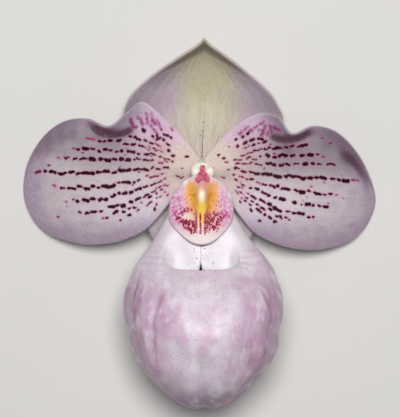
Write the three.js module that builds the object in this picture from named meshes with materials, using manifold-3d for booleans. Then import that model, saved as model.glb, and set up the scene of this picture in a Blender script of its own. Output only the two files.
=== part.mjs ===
// Slipper orchid (Paphiopedilum) bloom, as picked: one flower on its ovary and a short length of cut stem,
// lying on its back so that it faces up.
//
// Units are millimetres. +Z is up from the surface that the bloom lies on, +Y points along the dorsal sepal and
// +X to the right of someone who looks down into the flower. The origin is on the surface, under the middle of
// the bloom's outline. The bloom rests on three low points: the tips of both petals and the flat underside of
// the stem.
//
// Every piece is modelled in the bloom's own frame, whose origin is the spot where the flower's segments meet on
// top of the ovary, and the whole bloom is then set at HEART in the part's frame.

import * as THREE from "three";
import { mergeVertices } from "three/addons/utils/BufferGeometryUtils.js";
import Module from "manifold-3d";

// ---- driving dimensions ------------------------------------------------------------------------------------

const HEART = new THREE.Vector3(0.55, 15.4, 13); // where the segments meet, above the surface
const SURFACE = -HEART.z; // the surface, seen from the bloom's frame
const BLADE = 0.9; // thickness of petals and sepals
const LIP_WALL = 1.1; // thickness of the pouch
const GAP = 0.3; // clearance where two pieces touch

const wasm = await Module();
wasm.setup();

// ---- shared shape tools ------------------------------------------------------------------------------------

const { clamp, degToRad, lerp, smoothstep } = THREE.MathUtils;

/** A bell of height 1 around middle, that falls to about a third at one width away. */
const bell = (x, middle, width) => Math.exp(-(((x - middle) / width) ** 2));

/**
 * A smooth function of u in 0..1 through evenly spaced values (Catmull-Rom). It leaves the last value as if after
 * came next, which lets an outline run round its tip.
 */
function through(values, after = values.at(-1)) {
  const last = values.length - 1;
  const spaced = [values[0], ...values, after];
  return (u) => {
    const i = Math.min(Math.floor(u * last), last - 1);
    const f = u * last - i;
    const [a, b, c, d] = spaced.slice(i, i + 4);
    const slopeB = (c - a) / 2;
    const slopeC = (d - b) / 2;
    return b + f * (slopeB + f * (3 * (c - b) - 2 * slopeB - slopeC + f * (slopeB + slopeC - 2 * (c - b))));
  };
}

/** One smooth function for each column of a table of stations. */
const columnsThrough = (stations, after = stations.at(-1)) =>
  after.map((next, k) => through(stations.map((row) => row[k]), next));

/** A closed geometry from points and triangles: equal points are merged and triangles that collapsed dropped. */
function closedGeometry(points, triangles) {
  const loose = new THREE.BufferGeometry().setFromPoints(points).setIndex(triangles);
  const merged = mergeVertices(loose, 1e-4);
  const index = [];
  for (let i = 0; i < merged.index.count; i += 3) {
    const [a, b, c] = [0, 1, 2].map((k) => merged.index.getX(i + k));
    if (a !== b && b !== c && c !== a) index.push(a, b, c);
  }
  return merged.setIndex(index);
}

/**
 * A closed body between a front and a back sheet, both given as functions of s (base to tip) and t (side to side).
 * Both sheets are split into triangles alike, and the margin between them is closed.
 */
function sheetBody(front, back, rows, columns) {
  const points = [];
  for (const sheet of [front, back])
    for (let i = 0; i <= rows; i++) for (let j = 0; j <= columns; j++) points.push(sheet(i / rows, j / columns));
  const half = points.length / 2;
  const at = (i, j) => i * (columns + 1) + j;
  const triangles = [];
  for (let i = 0; i < rows; i++)
    for (let j = 0; j < columns; j++) {
      const [a, b, c, d] = [at(i, j), at(i, j + 1), at(i + 1, j + 1), at(i + 1, j)];
      triangles.push(a, b, c, a, c, d);
      triangles.push(half + a, half + c, half + b, half + a, half + d, half + c);
    }
  const margin = [];
  for (let j = 0; j < columns; j++) margin.push([at(0, j + 1), at(0, j)]);
  for (let i = 0; i < rows; i++) margin.push([at(i, 0), at(i + 1, 0)]);
  for (let j = 0; j < columns; j++) margin.push([at(rows, j), at(rows, j + 1)]);
  for (let i = rows; i > 0; i--) margin.push([at(i, columns), at(i - 1, columns)]);
  for (const [a, b] of margin) triangles.push(a, b, half + b, a, half + b, half + a);
  return closedGeometry(points, triangles);
}

/** A thin blade of even thickness round the middle surface point(s, t), which may narrow to one point at s = 1. */
function bladeGeometry(point, rows, columns, thickness = BLADE) {
  const step = 0.01;
  const normal = (s, t) => {
    const [u, v] = s > 0.999 ? [0.98, 0.5] : [s, t];
    const alongS = point(Math.min(u + step, 1), v).sub(point(Math.max(u - step, 0), v));
    const alongT = point(u, Math.min(v + step, 1)).sub(point(u, Math.max(v - step, 0)));
    return alongT.cross(alongS).normalize();
  };
  const offset = (side) => (s, t) => point(s, t).addScaledVector(normal(s, t), (side * thickness) / 2);
  return faceOut(sheetBody(offset(1), offset(-1), rows, columns));
}

/** A closed body through rings of points, each closed at its two ends by a fan to the end ring's middle. */
function ringBody(rings) {
  const around = rings[0].length;
  const points = rings.flat();
  const middleOf = (ring) => ring.reduce((sum, p) => sum.add(p), new THREE.Vector3()).divideScalar(around);
  const first = points.push(middleOf(rings[0])) - 1;
  const last = points.push(middleOf(rings.at(-1))) - 1;
  const top = (rings.length - 1) * around;
  const triangles = [];
  for (let j = 0; j < around; j++) {
    const k = (j + 1) % around;
    for (let i = 0; i < rings.length - 1; i++) {
      const [a, b, c, d] = [i * around + j, i * around + k, (i + 1) * around + k, (i + 1) * around + j];
      triangles.push(a, b, c, a, c, d);
    }
    triangles.push(first, k, j, last, top + j, top + k);
  }
  return faceOut(closedGeometry(points, triangles));
}

/** Turns the triangles round if they face into the body. */
function faceOut(geometry) {
  const position = geometry.getAttribute("position");
  const index = Array.from(geometry.index.array);
  const corner = (i) => new THREE.Vector3().fromBufferAttribute(position, index[i]);
  let volume = 0;
  for (let i = 0; i < index.length; i += 3) volume += corner(i).dot(corner(i + 1).cross(corner(i + 2)));
  return volume < 0 ? geometry.setIndex(index.reverse()) : geometry;
}

/** A rounded lump: a sphere stretched to the given radii. */
function lump(radii, middle, sides = 14, levels = 8) {
  const ball = new THREE.SphereGeometry(1, sides, levels).scale(...radii).translate(...middle);
  ball.deleteAttribute("normal");
  ball.deleteAttribute("uv");
  return closedGeometry(
    Array.from({ length: ball.attributes.position.count }, (_, i) =>
      new THREE.Vector3().fromBufferAttribute(ball.attributes.position, i)),
    Array.from(ball.index.array),
  );
}

const solidOf = (geometry) =>
  new wasm.Manifold(new wasm.Mesh({
    numProp: 3,
    vertProperties: new Float32Array(geometry.getAttribute("position").array),
    triVerts: new Uint32Array(geometry.index.array),
  }));

function geometryOf(solid) {
  const { numProp, vertProperties, triVerts } = solid.getMesh();
  const position = new Float32Array((vertProperties.length / numProp) * 3);
  for (let i = 0; i < position.length / 3; i++)
    position.set(vertProperties.subarray(i * numProp, i * numProp + 3), i * 3);
  return new THREE.BufferGeometry()
    .setAttribute("position", new THREE.BufferAttribute(position, 3))
    .setIndex(Array.from(triVerts));
}

const bloom = new THREE.Group();
bloom.position.copy(HEART);

function addPiece(name, geometry, { color, roughness = 0.6 }) {
  geometry.computeVertexNormals();
  const piece = new THREE.Mesh(geometry, new THREE.MeshStandardMaterial({ color, roughness, metalness: 0 }));
  piece.name = name;
  bloom.add(piece);
  return piece;
}

/** The flat place under a segment: s runs from base to tip, t from the first edge to the second. */
function planOf(firstEdge, secondEdge, pointed = false) {
  const [x0, y0] = columnsThrough(firstEdge, pointed ? firstEdge.at(-1) : secondEdge.at(-2));
  const [x1, y1] = columnsThrough(secondEdge, pointed ? secondEdge.at(-1) : firstEdge.at(-2));
  return (s, t) => [lerp(x0(s), x1(s), t), lerp(y0(s), y1(s), t)];
}

/** The same for a segment with two like halves: its outline is a list of heights with half widths. */
const evenPlanOf = (outline, pointed) =>
  planOf(outline.map(([y, half]) => [-half, y]), outline.map(([y, half]) => [half, y]), pointed);

// ---- dorsal sepal ------------------------------------------------------------------------------------------
// Broad and pointed, behind the petals. Its lower sides lean back and its top is hooded forward like a spoon.

const DORSAL_OUTLINE = [
  // height above the heart, half width
  [1.95, 2.6], [5.0, 11.5], [8.6, 18.6], [12.6, 21.2], [16.6, 20.0], [20.0, 17.2],
  [23.4, 13.2], [26.6, 8.8], [29.2, 4.8], [31.0, 1.8], [32.6, 0],
];

function dorsalDepth(x, y) {
  const middle = 0.1 - 0.9 * smoothstep(y, 3, 12) + 11.5 * (Math.max(y - 14, 0) / 18.8) ** 2;
  const leanBack = -5 * (x / 20) ** 2 * (1 - smoothstep(y, 10, 20));
  const cup = 3 * (x / 18) ** 2 * smoothstep(y, 12, 22);
  return middle + leanBack + cup;
}

const dorsalPlan = evenPlanOf(DORSAL_OUTLINE, true);
const dorsalPoint = (s, t) => {
  const [x, y] = dorsalPlan(s, t);
  return new THREE.Vector3(x, y, dorsalDepth(x, y));
};
addPiece("dorsal_sepal", bladeGeometry(dorsalPoint, 26, 14), { color: 0xd9cfc4 });

// ---- synsepal ----------------------------------------------------------------------------------------------
// The two lower sepals grown into one, behind the pouch.

const SYNSEPAL_OUTLINE = [
  [-2.6, 3.0], [-6.0, 9.0], [-10.0, 13.2], [-14.5, 14.9], [-18.5, 14.2],
  [-22.5, 11.8], [-26.5, 8.2], [-30.0, 4.0], [-32.5, 0],
];

const synsepalDepth = (x, y) => 0.1 - 3.2 * smoothstep(-y, 3, 14) - 0.8 * (x / 14) ** 2;

const synsepalPlan = evenPlanOf(SYNSEPAL_OUTLINE, true);
const synsepalPoint = (s, t) => {
  const [x, y] = synsepalPlan(s, t);
  return new THREE.Vector3(x, y, synsepalDepth(x, y));
};
addPiece("synsepal", bladeGeometry(synsepalPoint, 18, 10), { color: 0xcfc6c0 });

// ---- petals ------------------------------------------------------------------------------------------------
// Two broad petals in front of the sepals. The upper margin is waved: it dips between two lobes, with a fold just
// below the dip. Both tips sweep back down to the surface. The right petal hangs a little lower than the left, and
// its outer margin curls forward.

const LEFT_LOWER_EDGE = [
  // outward, up
  [2.1, -2.0], [4.9, -6.0], [8.4, -10.6], [14.4, -17.4], [19.6, -20.2], [25.0, -21.7],
  [31.6, -22.0], [38.4, -20.7], [43.6, -18.2], [47.4, -13.8], [49.3, -7.5],
];
const LEFT_UPPER_EDGE = [
  [2.1, 1.7], [4.9, 7.0], [8.6, 11.2], [14.2, 15.2], [19.6, 13.6], [24.6, 10.4],
  [30.6, 11.8], [37.4, 11.0], [43.4, 6.8], [47.8, 0.2], [49.3, -7.5],
];
const RIGHT_LOWER_EDGE = [
  [2.1, -2.0], [4.6, -6.2], [7.8, -10.8], [13.4, -18.0], [18.5, -21.1], [23.8, -22.9],
  [30.3, -23.6], [37.0, -22.6], [42.4, -20.2], [46.2, -15.9], [48.2, -9.9],
];
const RIGHT_UPPER_EDGE = [
  [2.1, 1.7], [5.3, 6.7], [9.2, 10.7], [14.9, 14.4], [20.2, 12.4], [25.0, 9.0],
  [30.8, 9.9], [36.5, 8.1], [41.9, 3.3], [46.1, -3.0], [48.2, -9.9],
];
const PETAL_BASE_DEPTH = 1.3;
const PETAL_SWEEP = -SURFACE + PETAL_BASE_DEPTH - 0.41; // puts the lowest point of the tip on the surface

function petalDepth(out, up, t, reach) {
  const sweep = -PETAL_SWEEP * (out / reach) ** 2.4;
  const lowerSide = up < -5 ? 1 : smoothstep(out, 18, 34);
  const arch = -1.8 * ((up + 5) / 17) ** 2 * lowerSide;
  const innerLobe = 1.6 * bell(out, 14, 6.5) * smoothstep(up, 6, 15);
  const fold = -3 * bell(out, 24.5, 7) * bell(t, 0.9, 0.1);
  const outerLobe = 1.4 * bell(out, 36, 6) * smoothstep(up, 4, 12);
  return PETAL_BASE_DEPTH + sweep + arch + innerLobe + fold + outerLobe;
}

function petalPoint(side, lowerEdge, upperEdge, droop, curl) {
  const plan = planOf(lowerEdge, upperEdge);
  const [reach] = plan(1, 0);
  return (s, t) => {
    const [out, up] = plan(s, t);
    const curled = curl * bell(out, 40, 6) * smoothstep(t, 0.88, 1) * smoothstep(1 - s, 0, 0.1);
    return new THREE.Vector3(side * out, up, petalDepth(out, up + droop * out, t, reach) + curled);
  };
}
const leftPetal = petalPoint(-1, LEFT_LOWER_EDGE, LEFT_UPPER_EDGE, 0, 0);
const rightPetal = petalPoint(1, RIGHT_LOWER_EDGE, RIGHT_UPPER_EDGE, 0.05, 1.4);
addPiece("petal_left", bladeGeometry(leftPetal, 32, 12), { color: 0xdccbd8 });
addPiece("petal_right", bladeGeometry(rightPetal, 32, 12), { color: 0xdccbd8 });

// ---- lip ---------------------------------------------------------------------------------------------------
// One petal blown up into a slipper: an open pouch on a narrow neck. The front wall ends in a free rim. Behind
// it the two side lobes fold in from the neck, meet at a slit in the middle and hang down into the pouch.

const LIP_STATIONS = [
  // up from the heart, half width, back and front of the middle
  [-3.2, 0.0, 3.4, 3.4], [-3.7, 2.4, 1.8, 5.4], [-6.0, 4.3, 1.4, 7.6], [-10.0, 6.6, 1.1, 9.8],
  [-15.0, 9.4, 0.7, 11.7], [-20.0, 12.3, 0.2, 13.6], [-24.0, 15.1, -0.2, 15.8], [-28.3, 18.1, -0.6, 20.4],
  [-32.0, 19.7, -0.8, 25.6], [-36.0, 20.4, -0.8, 29.5], [-41.0, 20.2, -0.5, 31.5], [-46.5, 19.0, 0.4, 31.2],
  [-52.0, 16.9, 2.2, 28.8], [-57.0, 13.2, 4.8, 25.4], [-61.0, 8.9, 8.0, 21.4], [-63.4, 4.9, 11.0, 18.0],
  [-64.5, 0.0, 14.5, 14.5],
];
const LIP_RIBS = 10;
const LIP_RIB_HEIGHT = 0.25;
const TOE_NOTCH = 0.7; // how far the groove down the front cuts into the toe

/** Rings of the slipper's outside, or of its inside where inset is the wall's thickness. */
function lipRings(inset, levels, around) {
  const last = LIP_STATIONS.length - 1;
  const stations = LIP_STATIONS.map(([y, half, back, front], i) => {
    const end = i === 0 ? -1 : i === last ? 1 : 0;
    const thick = end ? 0 : inset;
    return [y + end * inset, Math.max(half - thick, 0), back + thick, front - thick];
  });
  const [nextY, nextHalf, nextBack, nextFront] = stations.at(-2);
  const [y, half, back, front] = columnsThrough(stations, [nextY, -nextHalf, nextFront, nextBack]);
  return Array.from({ length: levels + 1 }, (_, i) => {
    const v = i / levels;
    const depth = Math.max(front(v) - back(v), 0) / 2;
    const ribs = inset ? 0 : LIP_RIB_HEIGHT * smoothstep(v, 0.35, 0.55) * (1 - smoothstep(v, 0.88, 1));
    return Array.from({ length: around }, (_, j) => {
      const turn = (j / around) * 2 * Math.PI;
      const swell = ribs * Math.cos(LIP_RIBS * turn + Math.PI);
      const x = (Math.max(half(v), 0) + swell) * Math.sin(turn);
      const notch = TOE_NOTCH * bell(x, 0, 2.2) * smoothstep(v, 0.82, 1);
      return new THREE.Vector3(x, y(v) + notch, back(v) + depth + (depth + swell) * Math.cos(turn));
    });
  });
}

/** How far forward the side lobes lie: two pillows with a seam between them, rounded off at their margins. */
function lobeDepth(x, y, t) {
  const rise = 12.9 - 5.5 * (clamp(y + 34.6, 0, 27) / 26.6) ** 1.7;
  const pillow = 0.4 * (1 - Math.cos((Math.PI * Math.min(Math.abs(x), 7)) / 7));
  return rise + pillow - 1.2 * (2 * t - 1) ** 16;
}

/** A body over an outline of heights with half widths, between two depths. */
function lobeBody(outline, low, high, rows, columns) {
  const plan = evenPlanOf(outline);
  const sheet = (depth) => (s, t) => {
    const [x, y] = plan(s, t);
    return new THREE.Vector3(x, y, depth(x, y, t));
  };
  return solidOf(faceOut(sheetBody(sheet(high), sheet(low), rows, columns)));
}

const MOUTH_OUTLINE = [
  // the opening that the rim and the folds of the side lobes leave
  [-8, 3.6], [-12, 5.5], [-16, 7.1], [-20, 8.8], [-23.5, 10.0], [-26, 9.7], [-27.3, 8.2], [-28.0, 5.0], [-28.2, 0],
];
const SIDE_LOBES_OUTLINE = [
  [-7.4, 4.0], [-12, 6.2], [-16, 7.9], [-20, 9.6], [-24, 10.7], [-28, 10.2], [-31.4, 8.4], [-33.8, 5.0], [-34.6, 0],
];
const SLIT_OUTLINE = [[-23.5, 0.1], [-26, 0.25], [-28.2, 0.6], [-31, 1.0], [-36, 1.6]];

const slipper = solidOf(ringBody(lipRings(0, 30, 40)));
const hollow = solidOf(ringBody(lipRings(LIP_WALL, 20, 26)));
const mouth = lobeBody(MOUTH_OUTLINE, (x, y, t) => lobeDepth(x, y, t) - 0.5, () => 40, 14, 8);
const sideLobes = lobeBody(SIDE_LOBES_OUTLINE, (x, y, t) => lobeDepth(x, y, t) - 1, lobeDepth, 14, 10);
const slit = lobeBody(SLIT_OUTLINE, () => 5, () => 20, 5, 1);
const lip = slipper.subtract(hollow).subtract(mouth).add(sideLobes.subtract(slit));
addPiece("lip_pouch", geometryOf(lip), { color: 0xe3cfde });

// ---- column ------------------------------------------------------------------------------------------------
// The fused stamens and style: a short leaning post that carries the staminode, with the stigma under its head.

const COLUMN_STATIONS = [
  // forward, down, half width, half height
  [-0.4, 0, 1.6, 1.6], [1.6, 0.2, 1.5, 1.6], [4.6, 1.0, 1.9, 1.9], [6.8, 1.9, 2.9, 1.8], [7.9, 2.4, 2.4, 1.3],
];

const post = ringBody(COLUMN_STATIONS.map(([forward, down, wide, high]) =>
  Array.from({ length: 16 }, (_, j) => {
    const turn = (j / 16) * 2 * Math.PI;
    return new THREE.Vector3(wide * Math.sin(turn), -down + high * Math.cos(turn), forward);
  })));
const stigma = lump([2.5, 2.6, 1.1], [0, -5.6, 9.4]);
const stigmaStalk = lump([1.2, 2.2, 1.2], [0, -3.6, 8.2], 10, 6);
addPiece("column", geometryOf(solidOf(post).add(solidOf(stigma)).add(solidOf(stigmaStalk))), { color: 0xf0e8c8 });

// ---- anthers -----------------------------------------------------------------------------------------------
// One pale lump on each side of the staminode's neck, on the column's shoulders.

for (const [name, side] of [["anther_left", -1], ["anther_right", 1]])
  addPiece(name, lump([1.0, 1.35, 0.95], [side * 2.15, -2.6, 9.15], 12, 8), { color: 0xefe9df });

// ---- staminode ---------------------------------------------------------------------------------------------
// The shield in the middle of the flower, on the column's head. It narrows to a short neck at its top.

const STAMINODE_OUTLINE = [
  [-0.9, 0.75], [-2.6, 0.8], [-3.9, 2.5], [-4.8, 4.0], [-6.6, 5.6], [-9.0, 7.4], [-11.6, 8.2],
  [-14.4, 8.3], [-17.0, 7.2], [-19.4, 4.9], [-21.2, 2.2], [-21.9, 0],
];

function staminodeDepth(x, y) {
  const down = -y;
  const spine = 9.7 + 3.9 * smoothstep(down, 0.5, 8) - 0.5 * smoothstep(down, 12, 21);
  const ridge = 0.9 * bell(x, 0, 1.3) * bell(down, 8.6, 3.6);
  return spine + ridge - 0.034 * x * x;
}

const staminodePlan = evenPlanOf(STAMINODE_OUTLINE);
const staminodePoint = (s, t) => {
  const [x, y] = staminodePlan(s, t);
  return new THREE.Vector3(x, y, staminodeDepth(x, y));
};
addPiece("staminode", bladeGeometry(staminodePoint, 20, 12, 1.1), { color: 0xe2a04a, roughness: 0.4 });

// ---- ovary -------------------------------------------------------------------------------------------------
// The ribbed seed case under the flower. It leaves the flower straight back and bends down to the stem.

const OVARY_BEND = 7.5; // radius of the bend
const OVARY_TOP = -0.7;
const OVARY_END = -30; // where it meets the stem
const JOINT_DEPTH = -8.9;
const OVARY_RIBS = 6;
const OVARY_SIDES = 24;

const ovaryPath = new THREE.CurvePath();
ovaryPath.add(new THREE.LineCurve3(new THREE.Vector3(0, 0, OVARY_TOP), new THREE.Vector3(0, 0, -1.6)));
const BEND_START = -1.6;
const bendMiddle = new THREE.Vector3(0, -OVARY_BEND, BEND_START - OVARY_BEND);
ovaryPath.add(new THREE.QuadraticBezierCurve3(
  new THREE.Vector3(0, 0, BEND_START), new THREE.Vector3(0, -0.6, BEND_START - OVARY_BEND + 0.4), bendMiddle));
ovaryPath.add(new THREE.LineCurve3(bendMiddle, new THREE.Vector3(0, OVARY_END, JOINT_DEPTH)));

/** A ring across a path that stays in the middle plane, with radius(turn) all round. */
function crossRing(path, u, sides, radius, firstTurn = 0) {
  const middle = path.getPointAt(u);
  const forward = path.getTangentAt(u);
  const right = new THREE.Vector3(1, 0, 0);
  const up = new THREE.Vector3().crossVectors(forward, right);
  return Array.from({ length: sides }, (_, j) => {
    const turn = firstTurn + (j / sides) * 2 * Math.PI;
    return middle.clone()
      .addScaledVector(right, radius(turn) * Math.sin(turn))
      .addScaledVector(up, radius(turn) * Math.cos(turn));
  });
}

const ovaryRadius = through([4.0, 3.1, 2.75, 2.75, 2.75, 2.7, 2.6, 2.4, 2.2]);
addPiece("ovary", ringBody(Array.from({ length: 21 }, (_, i) =>
  crossRing(ovaryPath, i / 20, OVARY_SIDES, (turn) =>
    ovaryRadius(i / 20) * (1 + 0.06 * Math.cos(OVARY_RIBS * turn)) - 0.1))), { color: 0x8f9a5c });

// ---- stem --------------------------------------------------------------------------------------------------
// The cut scape. Its last stretch lies flat along the surface, and its cut end shows under the pouch.

const STEM_RADIUS = 2.05;
const STEM_SIDES = 12;
const STEM_END = -60;
const stemAxis = SURFACE + STEM_RADIUS * Math.cos(Math.PI / STEM_SIDES);

const stemPath = new THREE.CurvePath();
stemPath.add(new THREE.CubicBezierCurve3(
  new THREE.Vector3(0, OVARY_END - GAP, JOINT_DEPTH), new THREE.Vector3(0, -33.5, JOINT_DEPTH),
  new THREE.Vector3(0, -35, stemAxis), new THREE.Vector3(0, -38, stemAxis)));
stemPath.add(new THREE.LineCurve3(new THREE.Vector3(0, -38, stemAxis), new THREE.Vector3(0, STEM_END, stemAxis)));

const bentShare = stemPath.getCurveLengths()[0] / stemPath.getLength();
const stemSteps = [0, 0.25, 0.5, 0.75, 1].map((u) => u * bentShare).concat(1);
addPiece("stem", ringBody(stemSteps.map((u) =>
  crossRing(stemPath, u, STEM_SIDES, () => STEM_RADIUS, Math.PI / STEM_SIDES))), { color: 0x77804a });

// ---- bract -------------------------------------------------------------------------------------------------
// The small leaf that sheathes the joint of stem and ovary from behind.

const BRACT_BASE = -31.6;
const BRACT_LENGTH = 16;
const bractHalfAngle = through([100, 108, 104, 88, 60, 28, 0].map(degToRad));
const bractRadius = through([2.7, 2.9, 3.05, 3.15, 3.25, 3.35, 3.5]);
const bractPoint = (s, t) => {
  const turn = lerp(-1, 1, t) * bractHalfAngle(s);
  const radius = bractRadius(s);
  return new THREE.Vector3(
    radius * Math.sin(turn), BRACT_BASE + BRACT_LENGTH * s, JOINT_DEPTH - radius * Math.cos(turn));
};
addPiece("bract", bladeGeometry(bractPoint, 12, 12, 0.65), { color: 0x93a05e });

export default bloom;
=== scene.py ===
import math

import bmesh
import bpy
import numpy as np
from mathutils import Matrix, Vector
from mathutils.kdtree import KDTree


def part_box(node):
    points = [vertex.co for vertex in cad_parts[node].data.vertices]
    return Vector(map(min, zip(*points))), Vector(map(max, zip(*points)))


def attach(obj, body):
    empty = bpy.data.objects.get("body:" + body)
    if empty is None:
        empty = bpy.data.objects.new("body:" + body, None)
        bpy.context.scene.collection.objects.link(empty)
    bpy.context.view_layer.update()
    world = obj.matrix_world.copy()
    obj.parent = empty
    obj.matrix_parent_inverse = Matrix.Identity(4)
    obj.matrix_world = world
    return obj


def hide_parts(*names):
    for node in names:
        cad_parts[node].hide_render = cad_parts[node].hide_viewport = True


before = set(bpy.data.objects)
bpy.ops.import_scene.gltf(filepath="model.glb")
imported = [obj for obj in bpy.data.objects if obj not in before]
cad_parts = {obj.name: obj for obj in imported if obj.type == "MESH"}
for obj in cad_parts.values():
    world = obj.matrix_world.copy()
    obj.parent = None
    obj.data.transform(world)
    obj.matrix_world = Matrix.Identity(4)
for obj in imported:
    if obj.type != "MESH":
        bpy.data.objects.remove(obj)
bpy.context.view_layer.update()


# ---- cut stem ------------------------------------------------------------------------------------
# The flower's stalk, cut off with a knife: a firm green rod with a maroon flush, covered in short hairs. It
# grows out of the joint behind the bract, and its last stretch lies along the surface.
# Sizes here and below are millimetres from the heart of the bloom, where its segments meet.

HEART = np.array([0.55, 15.4, 13.0])
STEM_RADIUS = 2.02
STEM_AXIS = STEM_RADIUS - HEART[2]
JOINT_DEPTH = -8.9
STEM_START = -30.3
STEM_LAID = -38
STEM_END = -60
STEM_BEND = (-33.5, -35)
STEM_RINGS = 120
STEM_POINTS = 49
STEM_RIDGES = 9
STEM_RIDGE_HEIGHT = 0.05
CUT_DOME = 0.12
CUT_SHARES = [0.98, 0.93, 0.8, 0.6, 0.4, 0.2, 0]  # of the stem's radius, from the cut's edge to its middle
GLOW_DEPTH = 0.0005  # how many metres of flesh the light gets through
GLOW_SPREAD = (1.4, 0.8, 0.9)  # and how much farther than that as red, green and blue


def smoothstep(x, low, high):
    x = np.clip((x - low) / (high - low), 0, 1)
    return x * x * (3 - 2 * x)


def bezier(*corners):
    """A curve of 200 points drawn towards its corners."""
    u = np.linspace(0, 1, 200)[:, None]
    layer = [np.array(corner, float) + 0 * u for corner in corners]
    while len(layer) > 1:
        layer = [a * (1 - u) + b * u for a, b in zip(layer, layer[1:])]
    return layer[0]


def even_steps(path, count):
    """The same path through count points at even distances."""
    reach = np.append(0, np.linalg.norm(np.diff(path, axis=0), axis=1).cumsum())
    even = np.linspace(0, reach[-1], count)
    return np.stack([np.interp(even, reach, path[:, axis]) for axis in range(3)], axis=1)


def rings_along(path, radius):
    """Rings round a path in the bloom's middle plane. radius has a row for each point of the path."""
    forward = np.gradient(path, axis=0)
    forward /= np.linalg.norm(forward, axis=1, keepdims=True)
    across = np.array([1.0, 0, 0])
    turn = np.linspace(0, 2 * math.pi, radius.shape[1])[:, None]
    outward = np.sin(turn) * across + np.cos(turn) * np.cross(forward, across)[:, None]
    return path[:, None] + radius[..., None] * outward


def closed(rings):
    """Rings with their two ends drawn together to a point."""
    ends = [np.broadcast_to(ring.mean(axis=0), ring.shape)[None] for ring in (rings[0], rings[-1])]
    return np.concatenate([ends[0], rings, ends[1]])


def keep(mesh, **layers):
    """Keeps numbers, or threes of them, at each point of a mesh, for its finish or its hairs to read."""
    for name, values in layers.items():
        kind, field = ("FLOAT", "value") if values.ndim == 1 else ("FLOAT_VECTOR", "vector")
        layer = mesh.attributes.get(name) or mesh.attributes.new(name, kind, "POINT")
        layer.data.foreach_set(field, values.astype(np.float32).ravel())


def points_of(piece, layer=None):
    """The points of a piece in millimetres from the heart, or the threes that a layer keeps at them."""
    found = np.zeros(len(piece.data.vertices) * 3, np.float32)
    if layer:
        piece.data.attributes[layer].data.foreach_get("vector", found)
        return found.reshape(-1, 3).astype(float)
    piece.data.vertices.foreach_get("co", found)
    return found.reshape(-1, 3) * 1000.0 - HEART


def sew(name, sheets, along=()):
    """A closed piece of grids of points, sewn where they meet. along has three numbers for each point."""
    faces, start = [], 0
    for sheet in sheets:
        rows, columns = sheet.shape[:2]
        at = start + np.arange(rows * columns).reshape(rows, columns)
        corners = [at[:-1, :-1], at[:-1, 1:], at[1:, 1:], at[1:, :-1]]
        faces += np.stack(corners, axis=-1).reshape(-1, 4).tolist()
        start += rows * columns
    points = np.concatenate([sheet.reshape(-1, 3) for sheet in sheets])
    mesh = bpy.data.meshes.new(name)
    mesh.from_pydata(((points + HEART) / 1000).tolist(), [], faces)
    if along:
        keep(mesh, along=np.concatenate([places.reshape(-1, 3) for places in along]))
    sewn = bmesh.new()
    sewn.from_mesh(mesh)
    bmesh.ops.remove_doubles(sewn, verts=sewn.verts, dist=1e-7)
    bmesh.ops.recalc_face_normals(sewn, faces=sewn.faces)
    sewn.to_mesh(mesh)
    sewn.free()
    mesh.shade_smooth()
    piece = bpy.data.objects.new(name + "_flesh", mesh)
    bpy.context.collection.objects.link(piece)
    return piece


def node(tree, kind, inputs=(), **settings):
    """One node of a finish or of a tree. Its inputs are numbers, colours or what other nodes give."""
    made = tree.nodes.new(kind)
    for name, value in settings.items():
        setattr(made, name, value)
    for name, value in dict(inputs).items():
        if isinstance(value, bpy.types.NodeSocket):
            tree.links.new(value, made.inputs[name])
        else:
            made.inputs[name].default_value = value
    return made


def paint(code):
    """A screen colour such as c0ffee as the linear colour that a finish takes."""
    parts = [int(code[i:i + 2], 16) / 255 for i in (0, 2, 4)]
    return (*[p / 12.92 if p < 0.04 else ((p + 0.055) / 1.055) ** 2.4 for p in parts], 1)


def output(tree, kind, inputs=(), **settings):
    """What a new node gives first."""
    return node(tree, kind, inputs, **settings).outputs[0]


def mixed(tree, share, first, second):
    return node(tree, "ShaderNodeMix", {0: share, 6: first, 7: second}, data_type="RGBA").outputs[2]


def layered(tree, ground, coats):
    """A ground with coats of colour over it. A coat is its share and its colour: a code or a node's."""
    for share, colour in coats:
        ground = mixed(tree, share, ground, paint(colour) if isinstance(colour, str) else colour)
    return ground


def times(tree, first, second):
    return output(tree, "ShaderNodeMath", {0: first, 1: second}, operation="MULTIPLY")


def rising(tree, value, low, high, top=1.0):
    """0 below low and top above high, smooth between. It falls where low is above high."""
    inputs = {"Value": value, "From Min": low, "From Max": high, "To Max": top}
    return output(tree, "ShaderNodeMapRange", inputs, interpolation_type="SMOOTHSTEP")


def grain(tree, size, detail=2.0, stretch=(1, 1, 1), where=None):
    """Soft noise from 0 to 1 whose lumps are about size millimetres across, or size of where's own unit."""
    place = where or node(tree, "ShaderNodeTexCoord").outputs["Object"]
    scale = [k / size * (1 if where else 1000) for k in stretch]
    moved = output(tree, "ShaderNodeMapping", {"Vector": place, "Scale": scale})
    return output(tree, "ShaderNodeTexNoise", {"Vector": moved, "Scale": 1, "Detail": detail})


def new_finish(name, roughness=0.5, sheen=0.0, glow=0.0, coat=0.0, shine=0.4):
    """A fresh finish: its node tree and its skin shader, which lets glow of the light into the flesh."""
    finish = bpy.data.materials.new(name)
    finish.use_nodes = True
    skin = finish.node_tree.nodes["Principled BSDF"]
    numbers = {
        "Roughness": roughness, "Specular IOR Level": shine, "Sheen Weight": sheen,
        "Sheen Roughness": 0.4, "Coat Weight": coat, "Coat Roughness": 0.2,
        "Subsurface Weight": glow, "Subsurface Scale": GLOW_DEPTH,
    }
    for socket, value in numbers.items():
        skin.inputs[socket].default_value = value
    skin.inputs["Subsurface Radius"].default_value = GLOW_SPREAD
    return finish, finish.node_tree, skin


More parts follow.
